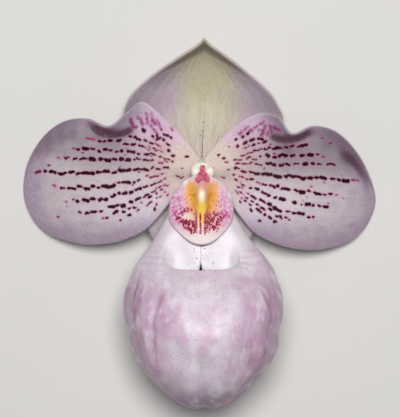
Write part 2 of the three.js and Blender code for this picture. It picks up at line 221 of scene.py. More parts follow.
def colour_skin(tree, skin, colour, height, depth):
    """Gives the skin its colour, and relief that is depth millimetres deep where height is 1."""
    tree.links.new(colour, skin.inputs["Base Color"])
    relief = output(tree, "ShaderNodeBump", {"Height": height, "Distance": depth / 1000, "Strength": 1.0})
    tree.links.new(relief, skin.inputs["Normal"])


def dress(piece, finish, cad_node):
    """Puts the finished piece in its CAD node's place."""
    piece.data.materials.clear()
    piece.data.materials.append(finish)
    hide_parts(cad_node)
    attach(piece, "root")


def hair_tree():
    """Hairs that stand out where a mesh's hairy layer says: thin three-sided spikes that lean a little."""
    tree = bpy.data.node_groups.new("hairs", "GeometryNodeTree")
    kinds = {"Geometry": "Geometry", "Density": "Float", "Length": "Float", "Width": "Float",
             "Lean": "Float", "Seed": "Int", "Finish": "Material"}
    for name, kind in kinds.items():
        tree.interface.new_socket(name, in_out="INPUT", socket_type="NodeSocket" + kind)
    tree.interface.new_socket("Geometry", in_out="OUTPUT", socket_type="NodeSocketGeometry")
    given = node(tree, "NodeGroupInput").outputs
    seed = given["Seed"]
    hairy = output(tree, "GeometryNodeInputNamedAttribute", {"Name": "hairy"}, data_type="FLOAT")
    density = times(tree, given["Density"], hairy)
    roots = node(tree, "GeometryNodeDistributePointsOnFaces",
                 {"Mesh": given["Geometry"], "Density": density, "Seed": seed}).outputs
    spike = output(tree, "GeometryNodeMeshCone", {
        "Vertices": 3, "Radius Top": 0, "Radius Bottom": given["Width"], "Depth": given["Length"],
    }, fill_type="NONE")
    lean = output(tree, "FunctionNodeRandomValue", {"Min": (-1, -1, -3), "Max": (1, 1, 3), "Seed": seed},
                  data_type="FLOAT_VECTOR")
    leaning = output(tree, "ShaderNodeVectorMath", {0: lean, "Scale": given["Lean"]}, operation="SCALE")
    turned = output(tree, "FunctionNodeRotateRotation", {0: roots["Rotation"], 1: leaning},
                    rotation_space="LOCAL")
    size = node(tree, "FunctionNodeRandomValue", {2: 0.5, 3: 1.2, "Seed": seed}, data_type="FLOAT")
    planted = output(tree, "GeometryNodeInstanceOnPoints", {
        "Points": roots["Points"], "Instance": spike, "Rotation": turned, "Scale": size.outputs[1]})
    real = output(tree, "GeometryNodeRealizeInstances", {"Geometry": planted})
    clad = output(tree, "GeometryNodeSetMaterial", {"Geometry": real, "Material": given["Finish"]})
    node(tree, "NodeGroupOutput", {0: clad})
    return tree


HAIRS = hair_tree()


def grow_hairs(piece, hairy, finish, density, length=0.5, width=0.022, lean=0.35, seed=1):
    """A piece of hairs on a finished piece: density is hairs in a square millimetre, where hairy is 1. What
    lies against the surface stays bare."""
    keep(piece.data, hairy=hairy * smoothstep(points_of(piece)[:, 2] + HEART[2], 0.5, 1.1))
    sizes = {"Density": density * 1e6, "Length": length / 1000, "Width": width / 1000, "Lean": lean,
             "Seed": seed, "Finish": finish}
    growing = piece.modifiers.new("hairs", "NODES")
    growing.node_group = HAIRS
    for socket in HAIRS.interface.items_tree:
        if socket.name in sizes:
            growing[socket.identifier] = sizes[socket.name]
    grown = bpy.data.meshes.new_from_object(piece.evaluated_get(bpy.context.evaluated_depsgraph_get()))
    piece.modifiers.remove(growing)
    hairs = bpy.data.objects.new(piece.name.replace("flesh", "hairs"), grown)
    bpy.context.collection.objects.link(hairs)
    grown.shade_smooth()
    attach(hairs, "root")


def hair_finish(name, colour):
    finish, tree, skin = new_finish(name, roughness=0.4, sheen=0.3)
    tint = mixed(tree, grain(tree, 2.0), paint(colour), paint("ffffff"))
    tree.links.new(tint, skin.inputs["Base Color"])
    return finish


def green_finish(name, green, flush, flush_share, speck_size):
    """Green skin with a maroon flush and darker specks, streaked along the bloom's length."""
    finish, tree, skin = new_finish(name, roughness=0.45, sheen=0.25, glow=0.15)
    streaks = grain(tree, 0.9, stretch=(1, 0.12, 1))
    colour = layered(tree, paint(green), [
        (rising(tree, streaks, 0.35, 0.65), "8d9460"),
        (rising(tree, grain(tree, 5.0), 0.4, 0.7, flush_share), flush),
        (rising(tree, grain(tree, speck_size), 0.62, 0.68, 0.7), "54303a"),
    ])
    colour_skin(tree, skin, colour, grain(tree, 0.3), 0.05)
    return finish


stem_bend = bezier((0, STEM_START, JOINT_DEPTH), (0, STEM_BEND[0], JOINT_DEPTH),
                   (0, STEM_BEND[1], STEM_AXIS), (0, STEM_LAID, STEM_AXIS))
stem_rest = bezier((0, STEM_LAID, STEM_AXIS), (0, STEM_END, STEM_AXIS))
stem_path = even_steps(np.concatenate([stem_bend, stem_rest[1:]]), STEM_RINGS)
stem_radius = np.full((STEM_RINGS, STEM_POINTS), STEM_RADIUS)
stem_radius -= STEM_RIDGE_HEIGHT * (1 + np.cos(np.linspace(0, 2 * math.pi, STEM_POINTS) * STEM_RIDGES))
stem_rings = rings_along(stem_path, stem_radius)
cut_middle, cut_edge = stem_path[-1], stem_rings[-1] - stem_path[-1]
cut_shares = np.array(CUT_SHARES)[:, None, None]
cut_rings = cut_middle + cut_shares * cut_edge + (1 - cut_shares) * (0, CUT_DOME, 0)
stem_rings = np.concatenate([stem_rings, cut_rings])
stem_rings[..., 2] = np.maximum(stem_rings[..., 2], -HEART[2])
stem = sew("stem", [closed(stem_rings)])

stem_finish = green_finish("stem_skin", "8a9450", "5b3138", 0.55, 0.45)
down = hair_finish("down", "b9b08f")
grow_hairs(stem, 1, down, density=5, length=0.6, seed=2)
dress(stem, stem_finish, "stem")


# ---- bract ---------------------------------------------------------------------------------------
# The small leaf that sheathes the joint of stem and ovary from behind: thin, green, specked with maroon and
# hairy along its margin. It clasps the joint at its base and ends in a point.

BRACT_BASE = -31.6
BRACT_LENGTH = 16
BRACT_HALF_ANGLES = np.radians([100, 108, 104, 88, 60, 28, 0])
BRACT_RADII = [2.7, 2.9, 3.05, 3.15, 3.25, 3.35, 3.5]
BRACT_THICKNESS = 0.6
BRACT_MESH = (60, 60)


def through(values, u, after=None):
    """A smooth line through evenly spaced values. It leaves the last one as if after came next."""
    values = np.asarray(values, float)
    spaced = np.concatenate([values[:1], values, [values[-1] if after is None else after]])
    place = np.clip(u, 0, 1) * (len(values) - 1)
    i = np.minimum(place.astype(int), len(values) - 2)
    f = place - i if values.ndim == 1 else (place - i)[..., None]
    a, b, c, d = (spaced[i + k] for k in range(4))
    slope_b, slope_c = (c - a) / 2, (d - b) / 2
    bend = 3 * (c - b) - 2 * slope_b - slope_c
    return b + f * (slope_b + f * (bend + f * (slope_b + slope_c - 2 * (c - b))))


def edged(count, edge):
    """Places from 0 to 1: even in the middle, and closer together within edge of both ends."""
    near = edge * np.array([0, 0.06, 0.2, 0.45, 0.7])
    return np.concatenate([near, np.linspace(edge, 1 - edge, count), 1 - near[::-1]])


def distance_to(points, outline):
    """How far each point is from the nearest point of an outline."""
    tree = KDTree(len(outline))
    for i, point in enumerate(outline):
        tree.insert(point, i)
    tree.balance()
    return np.array([tree.find(point)[2] for point in points])


def blade(name, surface, mesh, thickness, relief=None):
    """A thin closed blade round surface(s, t), with a rounded margin: s runs from base to tip, t from
    side to side, and mesh says how many rows and columns it has. Its along layer keeps s, t and the
    distance from the margin, which is negative at the back."""
    rows, columns = mesh
    s, t = np.meshgrid(edged(rows, 0.012), edged(columns, 0.015), indexing="ij")
    middle = surface(s, t)
    normal = np.cross(np.gradient(middle, axis=1), np.gradient(middle, axis=0))
    normal /= np.linalg.norm(normal, axis=2, keepdims=True) + 1e-12
    normal[-1] = normal[-3, columns // 2]
    normal *= np.sign(normal[..., 2].sum())
    fine = np.linspace(0, 1, 1500)
    outline = [surface(fine, 0 * fine), surface(fine, 0 * fine + 1), surface(0 * fine, fine)]
    margin = distance_to(middle.reshape(-1, 3), np.concatenate(outline)).reshape(s.shape)
    half = thickness / 2 * np.sqrt(1 - (1 - np.clip(margin / (thickness * 0.6), 0, 1)) ** 2)
    half[[0, -1]] = 0
    half[:, [0, -1]] = 0
    raised = relief(s, t, middle) * np.clip(margin / 2, 0, 1) * (half > 0) if relief else 0 * s
    front = middle + normal * (half + raised)[..., None]
    back = middle - normal * (half - raised * 0.6)[..., None]
    along = [np.stack([s, t, side * margin], axis=-1) for side in (1, -1)]
    return sew(name, [front, back], along)


def bract_surface(s, t):
    """A sheath round the joint that opens towards its point."""
    turn = (2 * t - 1) * through(BRACT_HALF_ANGLES, s)
    radius = through(BRACT_RADII, s)
    return np.stack([radius * np.sin(turn), BRACT_BASE + BRACT_LENGTH * s,
                     JOINT_DEPTH - radius * np.cos(turn)], axis=-1)


def bract_veins(s, t, place):
    return 0.05 * np.cos(t * 60)


bract = blade("bract", bract_surface, BRACT_MESH, BRACT_THICKNESS, bract_veins)
bract_finish = green_finish("bract_skin", "98a566", "6b3c41", 0.35, 0.6)
bract_hairy = np.where(abs(points_of(bract, "along")[:, 2]) < 0.4, 1.0, 0.05)
grow_hairs(bract, bract_hairy, down, density=14, length=0.7, seed=3)
dress(bract, bract_finish, "bract")


# ---- ovary ---------------------------------------------------------------------------------------
# The ribbed seed case under the flower, thick with short down. It leaves the flower straight back and bends
# down to the stem. Three of its six ribs are flushed maroon.

OVARY_BEND = 7.5
OVARY_TOP = -0.7
OVARY_BEND_START = -1.6
OVARY_END = -30
OVARY_RADII = [4.0, 3.1, 2.75, 2.75, 2.75, 2.7, 2.6, 2.4, 2.2]
OVARY_RIBS = 6
OVARY_LENGTH = 40
OVARY_MESH = (160, 96)


def kept(tree, layer, form="Fac"):
    """What a layer keeps: a number, or three as a Vector."""
    return node(tree, "ShaderNodeAttribute", attribute_name=layer).outputs[form]


def split(tree, vector):
    """The three numbers of a vector."""
    return node(tree, "ShaderNodeSeparateXYZ", {0: vector}).outputs


def plus(tree, first, second):
    return output(tree, "ShaderNodeMath", {0: first, 1: second}, operation="ADD")


def round_grid(mesh):
    """How far along a round body each point of its mesh is, from 0 to 1, and how far round it."""
    along, around = np.linspace(0, 1, mesh[0]), np.linspace(0, 2 * math.pi, mesh[1] + 1)
    return np.meshgrid(along, around, indexing="ij")


def ovary_skin():
    finish, tree, skin = new_finish("ovary_skin", roughness=0.5, sheen=0.4, glow=0.15)
    along, rib, other_rib = split(tree, kept(tree, "along", "Vector"))
    flush = rising(tree, plus(tree, other_rib, grain(tree, 3.0)), 0.3, 1.2, 0.75)
    colour = layered(tree, paint("79864a"), [
        (grain(tree, 1.2, stretch=(1, 0.2, 1)), "a3ab6c"),
        (times(tree, rising(tree, rib, 0.2, 0.9), flush), "6e3a3c"),
        (rising(tree, along, 5.5, 1.5), "e6dcc6"),
    ])
    colour_skin(tree, skin, colour, grain(tree, 0.25), 0.06)
    return finish


bend_end = (0, -OVARY_BEND, OVARY_BEND_START - OVARY_BEND)
ovary_path = np.concatenate([
    bezier((0, 0, OVARY_TOP), (0, 0, OVARY_BEND_START)),
    bezier((0, 0, OVARY_BEND_START), (0, -0.6, OVARY_BEND_START - OVARY_BEND + 0.4), bend_end)[1:],
    bezier(bend_end, (0, OVARY_END, JOINT_DEPTH))[1:]])
ovary_path = even_steps(ovary_path, OVARY_MESH[0])
ovary_u, ovary_turn = round_grid(OVARY_MESH)
ovary_swell = 1 + 0.06 * np.cos(OVARY_RIBS * ovary_turn) + 0.012 * np.cos(3 * OVARY_RIBS * ovary_turn)
ovary_rings = rings_along(ovary_path, through(OVARY_RADII, ovary_u) * ovary_swell - 0.1)
ovary_ribs = [np.cos(OVARY_RIBS * ovary_turn), np.cos(OVARY_RIBS / 2 * ovary_turn)]
ovary_along = np.stack([ovary_u * OVARY_LENGTH, *ovary_ribs], axis=-1)
ovary_along = np.concatenate([ovary_along[:1], ovary_along, ovary_along[-1:]])
ovary = sew("ovary", [closed(ovary_rings)], [ovary_along])
grow_hairs(ovary, 1, down, density=6, length=0.55, seed=4)
dress(ovary, ovary_skin(), "ovary")


# ---- synsepal ------------------------------------------------------------------------------------
# The two lower sepals grown into one, behind the pouch: a broad greenish blade. Its back and its margin are
# downy.

SEPAL_THICKNESS = 0.9
SYNSEPAL_MESH = (110, 90)
SYNSEPAL_OUTLINE = [
    # height, half width
    (-2.6, 3.0), (-6.0, 9.0), (-10.0, 13.2), (-14.5, 14.9), (-18.5, 14.2),
    (-22.5, 11.8), (-26.5, 8.2), (-30.0, 4.0), (-32.5, 0),
]


def bell(x, middle, width):
    return np.exp(-(((x - middle) / width) ** 2))


def plan(first, second, s, t, pointed=False):
    """The flat place under a blade between two edges. A blade that isn't pointed runs round its tip."""
    first, second = np.array(first, float), np.array(second, float)
    a = through(first, s, first[-1] if pointed else second[-2])
    b = through(second, s, second[-1] if pointed else first[-2])
    return np.moveaxis(a + (b - a) * t[..., None], -1, 0)


def even_plan(outline, s, t, pointed=False):
    """The same for a blade with two like halves."""
    edges = [[(side * half, height) for height, half in outline] for side in (-1, 1)]
    return plan(*edges, s, t, pointed)


def synsepal_surface(s, t):
    x, y = even_plan(SYNSEPAL_OUTLINE, s, t, pointed=True)
    return np.stack([x, y, 0.1 - 3.2 * smoothstep(-y, 3, 14) - 0.8 * (x / 14) ** 2], axis=-1)


def sepal_veins(s, t, place):
    """Fine ridges along a sepal, with a stronger one down its middle."""
    return 0.04 * np.cos((t - 0.5) * 2 * math.pi * 13) + 0.1 * bell(t, 0.5, 0.015)


def absolute(tree, value):
    return output(tree, "ShaderNodeMath", {0: value}, operation="ABSOLUTE")


def uneven(tree, amount, size, detail=2.0, stretch=(1, 1, 1)):
    """Soft noise round 0, with amount between its lowest and its highest."""
    return times(tree, plus(tree, grain(tree, size, detail, stretch), -0.5), amount)


def points_from_heart(tree):
    """Object coordinates in millimetres from the heart."""
    place = node(tree, "ShaderNodeTexCoord").outputs["Object"]
    inputs = {"Vector": place, "Scale": (1000, 1000, 1000), "Location": tuple(-HEART)}
    return output(tree, "ShaderNodeMapping", inputs)


def sepal_skin(name, middle, edge, low, top, centre=0.0, marks=None):
    """Sepal skin: middle colour down the blade, edge colour at its sides, low and top colours near its
    ends, and then its marks. The middle colour is centre millimetres off the midrib."""
    finish, tree, skin = new_finish(name, roughness=0.5, sheen=0.2, glow=0.3)
    along = split(tree, kept(tree, "along", "Vector"))[0]
    aside = absolute(tree, plus(tree, split(tree, points_from_heart(tree))[0], -centre))
    cloudy = plus(tree, aside, uneven(tree, 9, 3.0, 4.0, (1, 0.5, 1)))
    streaks = grain(tree, 0.55, 3.0, stretch=(1, 0.14, 1))
    colour = layered(tree, paint(middle), [
        (rising(tree, cloudy, 3.0, 12.0), edge),
        (rising(tree, along, 0.62, 0.95, 0.8), top),
        (rising(tree, along, 0.42, 0.12, 0.8), low),
        (rising(tree, streaks, 0.42, 0.66, 0.22), "8f8a76"),
        (rising(tree, grain(tree, 0.32, 1.0), 0.45, 0.75, 0.3), "8f8189"),
        *(marks(tree) if marks else []),
    ])
    colour_skin(tree, skin, colour, grain(tree, 0.35), 0.04)
    return finish


def downy(sepal, back):
    """Where a sepal has hairs: all along its margin, and back says how many on its back."""
    margin = points_of(sepal, "along")[:, 2]
    return np.where(abs(margin) < 0.4, 1, back * (margin < 0))


synsepal = blade("synsepal", synsepal_surface, SYNSEPAL_MESH, SEPAL_THICKNESS, sepal_veins)
sepal_hairs = hair_finish("sepal_hairs", "d6cdc6")
grow_hairs(synsepal, downy(synsepal, 0.25), sepal_hairs, density=12, length=0.5, seed=5)
dress(synsepal, sepal_skin("synsepal_skin", "b5b293", "a89fa3", "b9ae9f", "a9a98f"), "synsepal")


# ---- dorsal sepal --------------------------------------------------------------------------------
# The upright sepal behind the petals: broad, greenish down its middle and lilac at its sides. Its top is
# hooded forward like a spoon, with a thin rim that ends in a point and a painted highlight along it.

DORSAL_OUTLINE = [
    (0.1, 2.0), (5.0, 11.5), (8.6, 18.6), (12.6, 21.2), (16.6, 20.0), (20.0, 17.2),
    (23.4, 13.2), (26.6, 8.8), (29.2, 4.8), (31.0, 1.8), (32.6, 0),
]
DORSAL_MESH = (170, 190)
HOOD_START = 14
HOOD_REACH = 18.8
HOOD_RISE = 11.5
MIDRIB_PLACE = 0.25
MIDRIB_SPECKS = [
    # across, up, radius
    (0.52, 10.9, 0.22), (0.36, 8.6, 0.22), (-0.29, 7.4, 0.15), (0.5, 7.1, 0.14), (0.2, 3.7, 0.15),
    (0.2, 2.7, 0.2), (0.05, 1.7, 0.2),
]
SIDE_VEINS = [
    # places across and up
    [(-0.9, 1.2), (-1.8, 2.5), (-2.6, 4.2), (-3.6, 7.6), (-4.0, 12.8)],
    [(0.9, 1.0), (1.9, 2.1), (3.1, 3.8), (4.5, 6.6), (5.2, 9.2), (5.6, 12.0)],
]


def dorsal_surface(s, t):
    x, y = even_plan(DORSAL_OUTLINE, s, t, pointed=True)
    x = x + 0.7 * smoothstep(y, 22, 32) + 1.3 * smoothstep(x, 12, 21) * bell(y, 11.3, 3)
    hood = HOOD_RISE * (np.maximum(y - HOOD_START, 0) / HOOD_REACH) ** 2
    middle = 0.1 - 0.9 * smoothstep(y, 3, 12) + hood
    lean_back = -5 * (x / 20) ** 2 * (1 - smoothstep(y, 10, 20))
    cup = 3 * (x / 18) ** 2 * smoothstep(y, 12, 22)
    return np.stack([x, y, middle + lean_back + cup], axis=-1)


def nearest_spot(flat, spots, reach=0.6):
    """How far each place on a blade is from the edge of the nearest of some round spots, at most reach, and
    how ripe that spot is. A spot is its place, its radius and its ripeness."""
    gap, ripe = np.full(len(flat), reach), np.ones(len(flat))
    for x, y, radius, ripeness in spots:
        close = (abs(flat[:, 0] - x) < radius + reach) & (abs(flat[:, 1] - y) < radius + reach)
        close = np.flatnonzero(close)
        new = np.hypot(flat[close, 0] - x, flat[close, 1] - y) - radius
        nearer = new < gap[close]
        gap[close[nearer]] = new[nearer]
        ripe[close[nearer]] = ripeness
    return gap, ripe


def distance_to_line(points, line):
    """How far each point is, seen from the front, from a smooth line through places across and up."""
    fine = through([(*place, 0) for place in line], np.linspace(0, 1, 120))
    return distance_to(points * (1, 1, 0), fine)


def dorsal_shade(place, along):
    """The dusky band that the hood throws on itself, just inside the upper margin."""
    x, y = place[:, 0], place[:, 1]
    inside, high = abs(along[:, 2]), smoothstep(y, 21, 30)
    band = smoothstep(inside, 0.3, 0.7) * (1 - smoothstep(inside, 0.9 + 0.6 * high, 2.0 + 2.0 * high))
    soft = smoothstep(-inside, -6.5, -1) * smoothstep(y, 13, 23) * (0.55 - 0.2 * smoothstep(y, 25, 29))
    soft += 0.12 * bell(x, -11, 4) * bell(y, 22, 4)
    return np.maximum(band * smoothstep(y, 17, 27), soft) * (along[:, 2] > 0)


def dorsal_marks(tree):
    """The line down its midrib, the hood's painted shade, a painted highlight along its rim, the side veins
    and the midrib's specks.
    """
    across, up, _ = split(tree, points_from_heart(tree))
    aside = absolute(tree, plus(tree, across, -MIDRIB_PLACE))
    margin = absolute(tree, split(tree, kept(tree, "along", "Vector"))[2])
    return [
        (times(tree, rising(tree, aside, 0.25, 0.08, 0.5), rising(tree, up, 8.8, 7.6)), "5f4c4c"),
        (times(tree, kept(tree, "shade"), 0.78), "51403f"),
        # a painted highlight along the lit rim
        (rising(tree, margin, 0.36, 0.12, 0.75), "cdbfbd"),
        (times(tree, kept(tree, "vein"), 0.5), "6f6254"),
        (rising(tree, kept(tree, "spot"), 0.06, -0.04, 0.85), "3f2430"),
    ]


dorsal = blade("dorsal_sepal", dorsal_surface, DORSAL_MESH, SEPAL_THICKNESS, sepal_veins)
dorsal_place, dorsal_along = points_of(dorsal), points_of(dorsal, "along")
speck_gap, _ = nearest_spot(dorsal_place, [(*speck, 1) for speck in MIDRIB_SPECKS])
vein_gap = np.minimum(*(distance_to_line(dorsal_place, vein) for vein in SIDE_VEINS))
vein_share = bell(vein_gap, 0, 0.14) * smoothstep(dorsal_place[:, 1], 12.5, 5) * (dorsal_along[:, 2] > 0)
keep(dorsal.data, spot=speck_gap + 0.3 * (dorsal_along[:, 2] < 0), vein=vein_share)
keep(dorsal.data, shade=dorsal_shade(dorsal_place, dorsal_along))
dorsal_finish = sepal_skin("dorsal_skin", "c4bc9f", "bcaab8", "c2b4a7", "b4b58e", 1.5, dorsal_marks)
grow_hairs(dorsal, downy(dorsal, 0.2), sepal_hairs, density=12, length=0.5, seed=6)
dress(dorsal, dorsal_finish, "dorsal_sepal")


# ---- petals --------------------------------------------------------------------------------------
# Two broad fleshy petals in front of the sepals, white to lilac, with dashes of maroon along their veins.
# The upper margin is waved, with a fold below its dip, and both tips sweep back down to the surface.

PETAL_THICKNESS = 0.9
PETAL_MESH = (185, 150)
PETAL_BASE_DEPTH = 1.3
PETAL_SWEEP = HEART[2] + PETAL_BASE_DEPTH - 0.41
PETAL_ARCH = 1.8
INNER_LOBE_RISE = 1.6
OUTER_LOBE_RISE = 1.4
FOLD_DEPTH = 3
PETALS = {
    # Edges, fold and the valley along the rim are places out and up from the heart. vein is the height of
    # the middle vein on its way out, dashes says how far the dashes reach, and crest how high the crest by
    # the sepal starts. shade is painted shade along the top: its depth, where it starts and how it climbs
    # towards the tip. The last entry has a few ovals of painted shade.
    "petal_left": {
        "side": -1, "droop": 0, "curl": 0, "dashes": 1.0, "seed": 11,
        "lower": [(0.9, -2.0), (4.9, -6.0), (8.4, -10.6), (14.4, -17.4), (19.6, -20.2), (25.0, -21.7),
                  (31.6, -22.0), (38.4, -20.7), (43.6, -18.2), (47.4, -13.8), (49.3, -7.5)],
        "upper": [(0.3, 1.0), (4.9, 6.9), (9.0, 10.9), (15.6, 16.3), (20.3, 13.5), (25.2, 10.1),
                  (31.0, 12.2), (37.6, 11.5), (43.5, 7.5), (47.9, 0.5), (49.3, -7.5)],
        "vein": [-1.4, -1.5, -2.3, -2.7, -2.2],
        "fold": [(16, 10.0), (18.5, 8.9), (20.8, 7.9), (24, 7.6), (27, 8.1), (29.2, 9.2), (31, 10.8)],
        "rim": [],
        "crest": 16,
        "shade": (0.36, -4.5, 0.35),
        "dusk": [(29, 7.8, 3.4, 2.8, 0.42), (42, 3.8, 3.5, 2.2, 0.13)],
    },
    "petal_right": {
        "side": 1, "droop": 0.05, "curl": 1.4, "dashes": 0.93, "seed": 12,
        "lower": [(0.9, -2.0), (4.6, -6.2), (7.8, -10.8), (13.4, -18.0), (18.5, -21.1), (23.8, -22.9),
                  (30.3, -23.6), (37.0, -22.6), (42.4, -20.2), (46.2, -15.9), (48.2, -9.9)],
        "upper": [(0.7, 1.0), (4.9, 6.1), (9.6, 10.2), (15.6, 13.3), (20.8, 12.3), (24.6, 8.1),
                  (30.4, 10.2), (36.5, 8.8), (42.0, 4.0), (46.1, -2.6), (48.2, -9.9)],
        "vein": [-1.4, -2.2, -3.6, -4.3, -4.5],
        "fold": [(16, 8.0), (18.5, 6.9), (21, 6.3), (24.3, 6.3), (26.8, 6.9), (29.2, 8.0), (32, 8.9)],
        "rim": [(36.5, 4.8), (39.0, 2.6), (41.2, 0.9), (43.1, -1.4), (44.2, -3.6), (45.3, -5.8),
                (46.1, -8.0)],
        "crest": 15,
        "shade": (0.56, -7.5, 0.0),
        "dusk": [(39.0, 1.0, 3.4, 1.8, 0.32)],
    },
}
VEIN_ROWS = [
    # height over the middle vein far out, where its dashes start and end, their half width, dashed share
    (13.0, 11.0, 20.0, 0.38, 0.50),
    (10.0, 10.0, 30.0, 0.42, 0.62), (7.0, 8.5, 36.0, 0.46, 0.72), (4.2, 8.5, 39.5, 0.46, 0.76),
    (0.0, 8.5, 46.0, 0.54, 0.88), (-4.3, 9.5, 40.0, 0.44, 0.76), (-8.0, 9.0, 37.5, 0.46, 0.68),
    (-11.6, 9.0, 34.5, 0.46, 0.62), (-14.2, 8.5, 27.0, 0.38, 0.45), (-16.8, 9.5, 22.5, 0.36, 0.40),
]
STRAY_SPOTS = 26

MARKS = {
    # name: soft streaks on the lobe by the sepal, then the dark spots nearest the heart. Each has its start
    # and its end, out and up from the heart, and its half width.
    "petal_left": (
        [(19.1, 11.6, 18.5, 9.9, 0.40), (18.5, 9.8, 17.6, 9.7, 0.35), (17.1, 12.4, 17.0, 11.9, 0.30),
         (16.4, 11.9, 15.8, 10.3, 0.30), (14.8, 13.3, 14.6, 12.2, 0.12), (14.6, 12.0, 14.5, 10.6, 0.28),
         (13.6, 10.0, 13.4, 9.5, 0.25), (13.2, 11.3, 12.4, 10.4, 0.38), (13.4, 13.1, 13.2, 11.6, 0.12),
         (11.9, 11.4, 11.0, 9.2, 0.15), (12.9, 9.2, 11.9, 7.9, 0.17), (8.2, 9.4, 7.7, 8.6, 0.13)],
        [(15.7, 8.9, 15.4, 8.4, 0.42), (18.0, 6.8, 17.8, 6.9, 0.34), (13.2, 7.1, 13.0, 7.0, 0.38),
         (11.9, 7.7, 11.9, 7.1, 0.27), (12.2, 6.2, 10.9, 6.7, 0.32), (10.9, 9.0, 10.7, 8.8, 0.24),
         (10.0, 7.6, 9.9, 7.5, 0.32), (9.3, 7.5, 9.0, 7.2, 0.32), (8.3, 6.8, 8.1, 6.6, 0.32),
         (10.2, 6.2, 10.0, 6.2, 0.36), (9.3, 5.0, 8.6, 4.7, 0.26), (8.9, 3.4, 8.7, 3.2, 0.36),
         (7.8, 1.8, 7.4, 1.9, 0.32), (4.3, 1.6, 3.6, 1.6, 0.26), (7.8, 0.3, 7.6, 0.3, 0.22),
         (6.8, -3.5, 5.9, -3.9, 0.12), (5.6, -4.2, 4.9, -3.8, 0.12), (5.2, -1.5, 5.1, -1.5, 0.12),
         (9.3, -8.9, 8.9, -8.5, 0.17), (12.2, -11.4, 12.0, -11.0, 0.20), (12.7, -12.8, 12.5, -12.2, 0.24)]),
    "petal_right": (
        [(10.1, 7.5, 10.9, 8.4, 0.24), (11.6, 8.9, 12.4, 9.6, 0.18), (13.0, 8.5, 13.3, 8.6, 0.36),
         (14.2, 9.3, 15.1, 9.8, 0.15), (15.8, 10.4, 16.8, 10.9, 0.20), (16.1, 7.5, 16.7, 8.8, 0.45),
         (16.8, 8.9, 17.1, 9.9, 0.30), (17.6, 7.4, 18.0, 8.4, 0.22), (18.4, 10.0, 18.9, 8.5, 0.34),
         (19.5, 9.6, 20.3, 9.2, 0.40), (20.7, 9.3, 21.2, 8.8, 0.30), (15.4, 8.7, 15.5, 9.0, 0.14)],
        [(12.3, 7.6, 12.5, 8.0, 0.36), (9.2, 6.2, 9.3, 6.3, 0.28), (11.0, 6.8, 11.2, 7.1, 0.33),
         (9.6, 4.3, 9.8, 4.5, 0.34), (11.4, 5.1, 12.0, 5.5, 0.38), (13.2, 5.9, 14.0, 6.3, 0.38),
         (15.4, 6.5, 16.5, 6.3, 0.36), (7.3, 4.3, 7.4, 4.3, 0.14), (4.4, 2.0, 4.8, 2.2, 0.25),
         (5.7, 1.1, 6.2, 1.2, 0.25), (6.4, 0.1, 6.8, 0.1, 0.20), (9.0, -1.5, 9.2, -1.3, 0.32),
         (7.0, -1.9, 7.4, -1.8, 0.16), (8.5, -3.3, 8.7, -3.3, 0.22), (5.5, -3.9, 6.2, -4.1, 0.14),
         (3.2, -1.5, 3.3, -1.5, 0.10), (10.4, -10.3, 10.6, -10.7, 0.22), (13.2, -12.5, 13.4, -13.0, 0.26),
         (15.6, -15.5, 15.8, -15.7, 0.28)]),
}


def ripple(points, size, seed):
    """Soft random waves, from about -1 to 1, whose lumps are size across."""
    random = np.random.default_rng(seed)
    ways = random.normal(size=(12, points.shape[-1]))
    ways /= np.linalg.norm(ways, axis=1, keepdims=True)
    return np.sin(points @ ways.T * (math.pi / size) + random.uniform(0, 7, 12)).sum(axis=-1) / 5


def patches(x, y, ovals):
    """Soft ovals of shade or colour. Each has its middle, its half width and height, and its strength."""
    return sum(depth * bell(x, over, wide) * bell(y, up, high) for over, up, wide, high, depth in ovals)


def petal_depth(out, up, t, reach):
    """How far forward a petal lies: swept back and arched, with its fold between its two lobes."""
    sweep = -PETAL_SWEEP * (out / reach) ** 2.4
    arch = -PETAL_ARCH * ((up + 5) / 17) ** 2 * np.where(up < -5, 1, smoothstep(out, 18, 34))
    inner_lobe = INNER_LOBE_RISE * bell(out, 14, 6.5) * smoothstep(up, 6, 15)
    fold = -FOLD_DEPTH * bell(out, 24.5, 7) * bell(t, 0.9, 0.1)
    outer_lobe = OUTER_LOBE_RISE * bell(out, 36, 6) * smoothstep(up, 4, 12)
    return PETAL_BASE_DEPTH + sweep + arch + inner_lobe + fold + outer_lobe


def petal_surface(form):
    """The surface of a petal of this form, with its outer margin curled forward."""
    lower, upper = form["lower"], form["upper"]
    reach = upper[-1][0]

    def surface(s, t):
        out, up = plan(lower, upper, s, t)
        curled = form["curl"] * bell(out, 40, 6) * smoothstep(t, 0.88, 1) * smoothstep(1 - s, 0, 0.1)
        depth = petal_depth(out, up + form["droop"] * out, t, reach) + curled
        return np.stack([form["side"] * out, up, depth], axis=-1)

    return surface


def petal_relief(form):
    """A soft waviness all over, and a fine ridge along each vein."""
    return lambda s, t, place: 0.05 * ripple(place, 5, form["seed"]) + 0.02 * np.cos(t * 2 * math.pi * 11)


def vein_height(form, out, height):
    """How high a vein lies at this distance from the heart. The veins spread on their way out."""
    spread = 1 - np.exp(-(np.maximum(out - 1.3, 0.01) / 14.85) ** 1.3)
    return through(form["vein"], out / 44) + height * spread


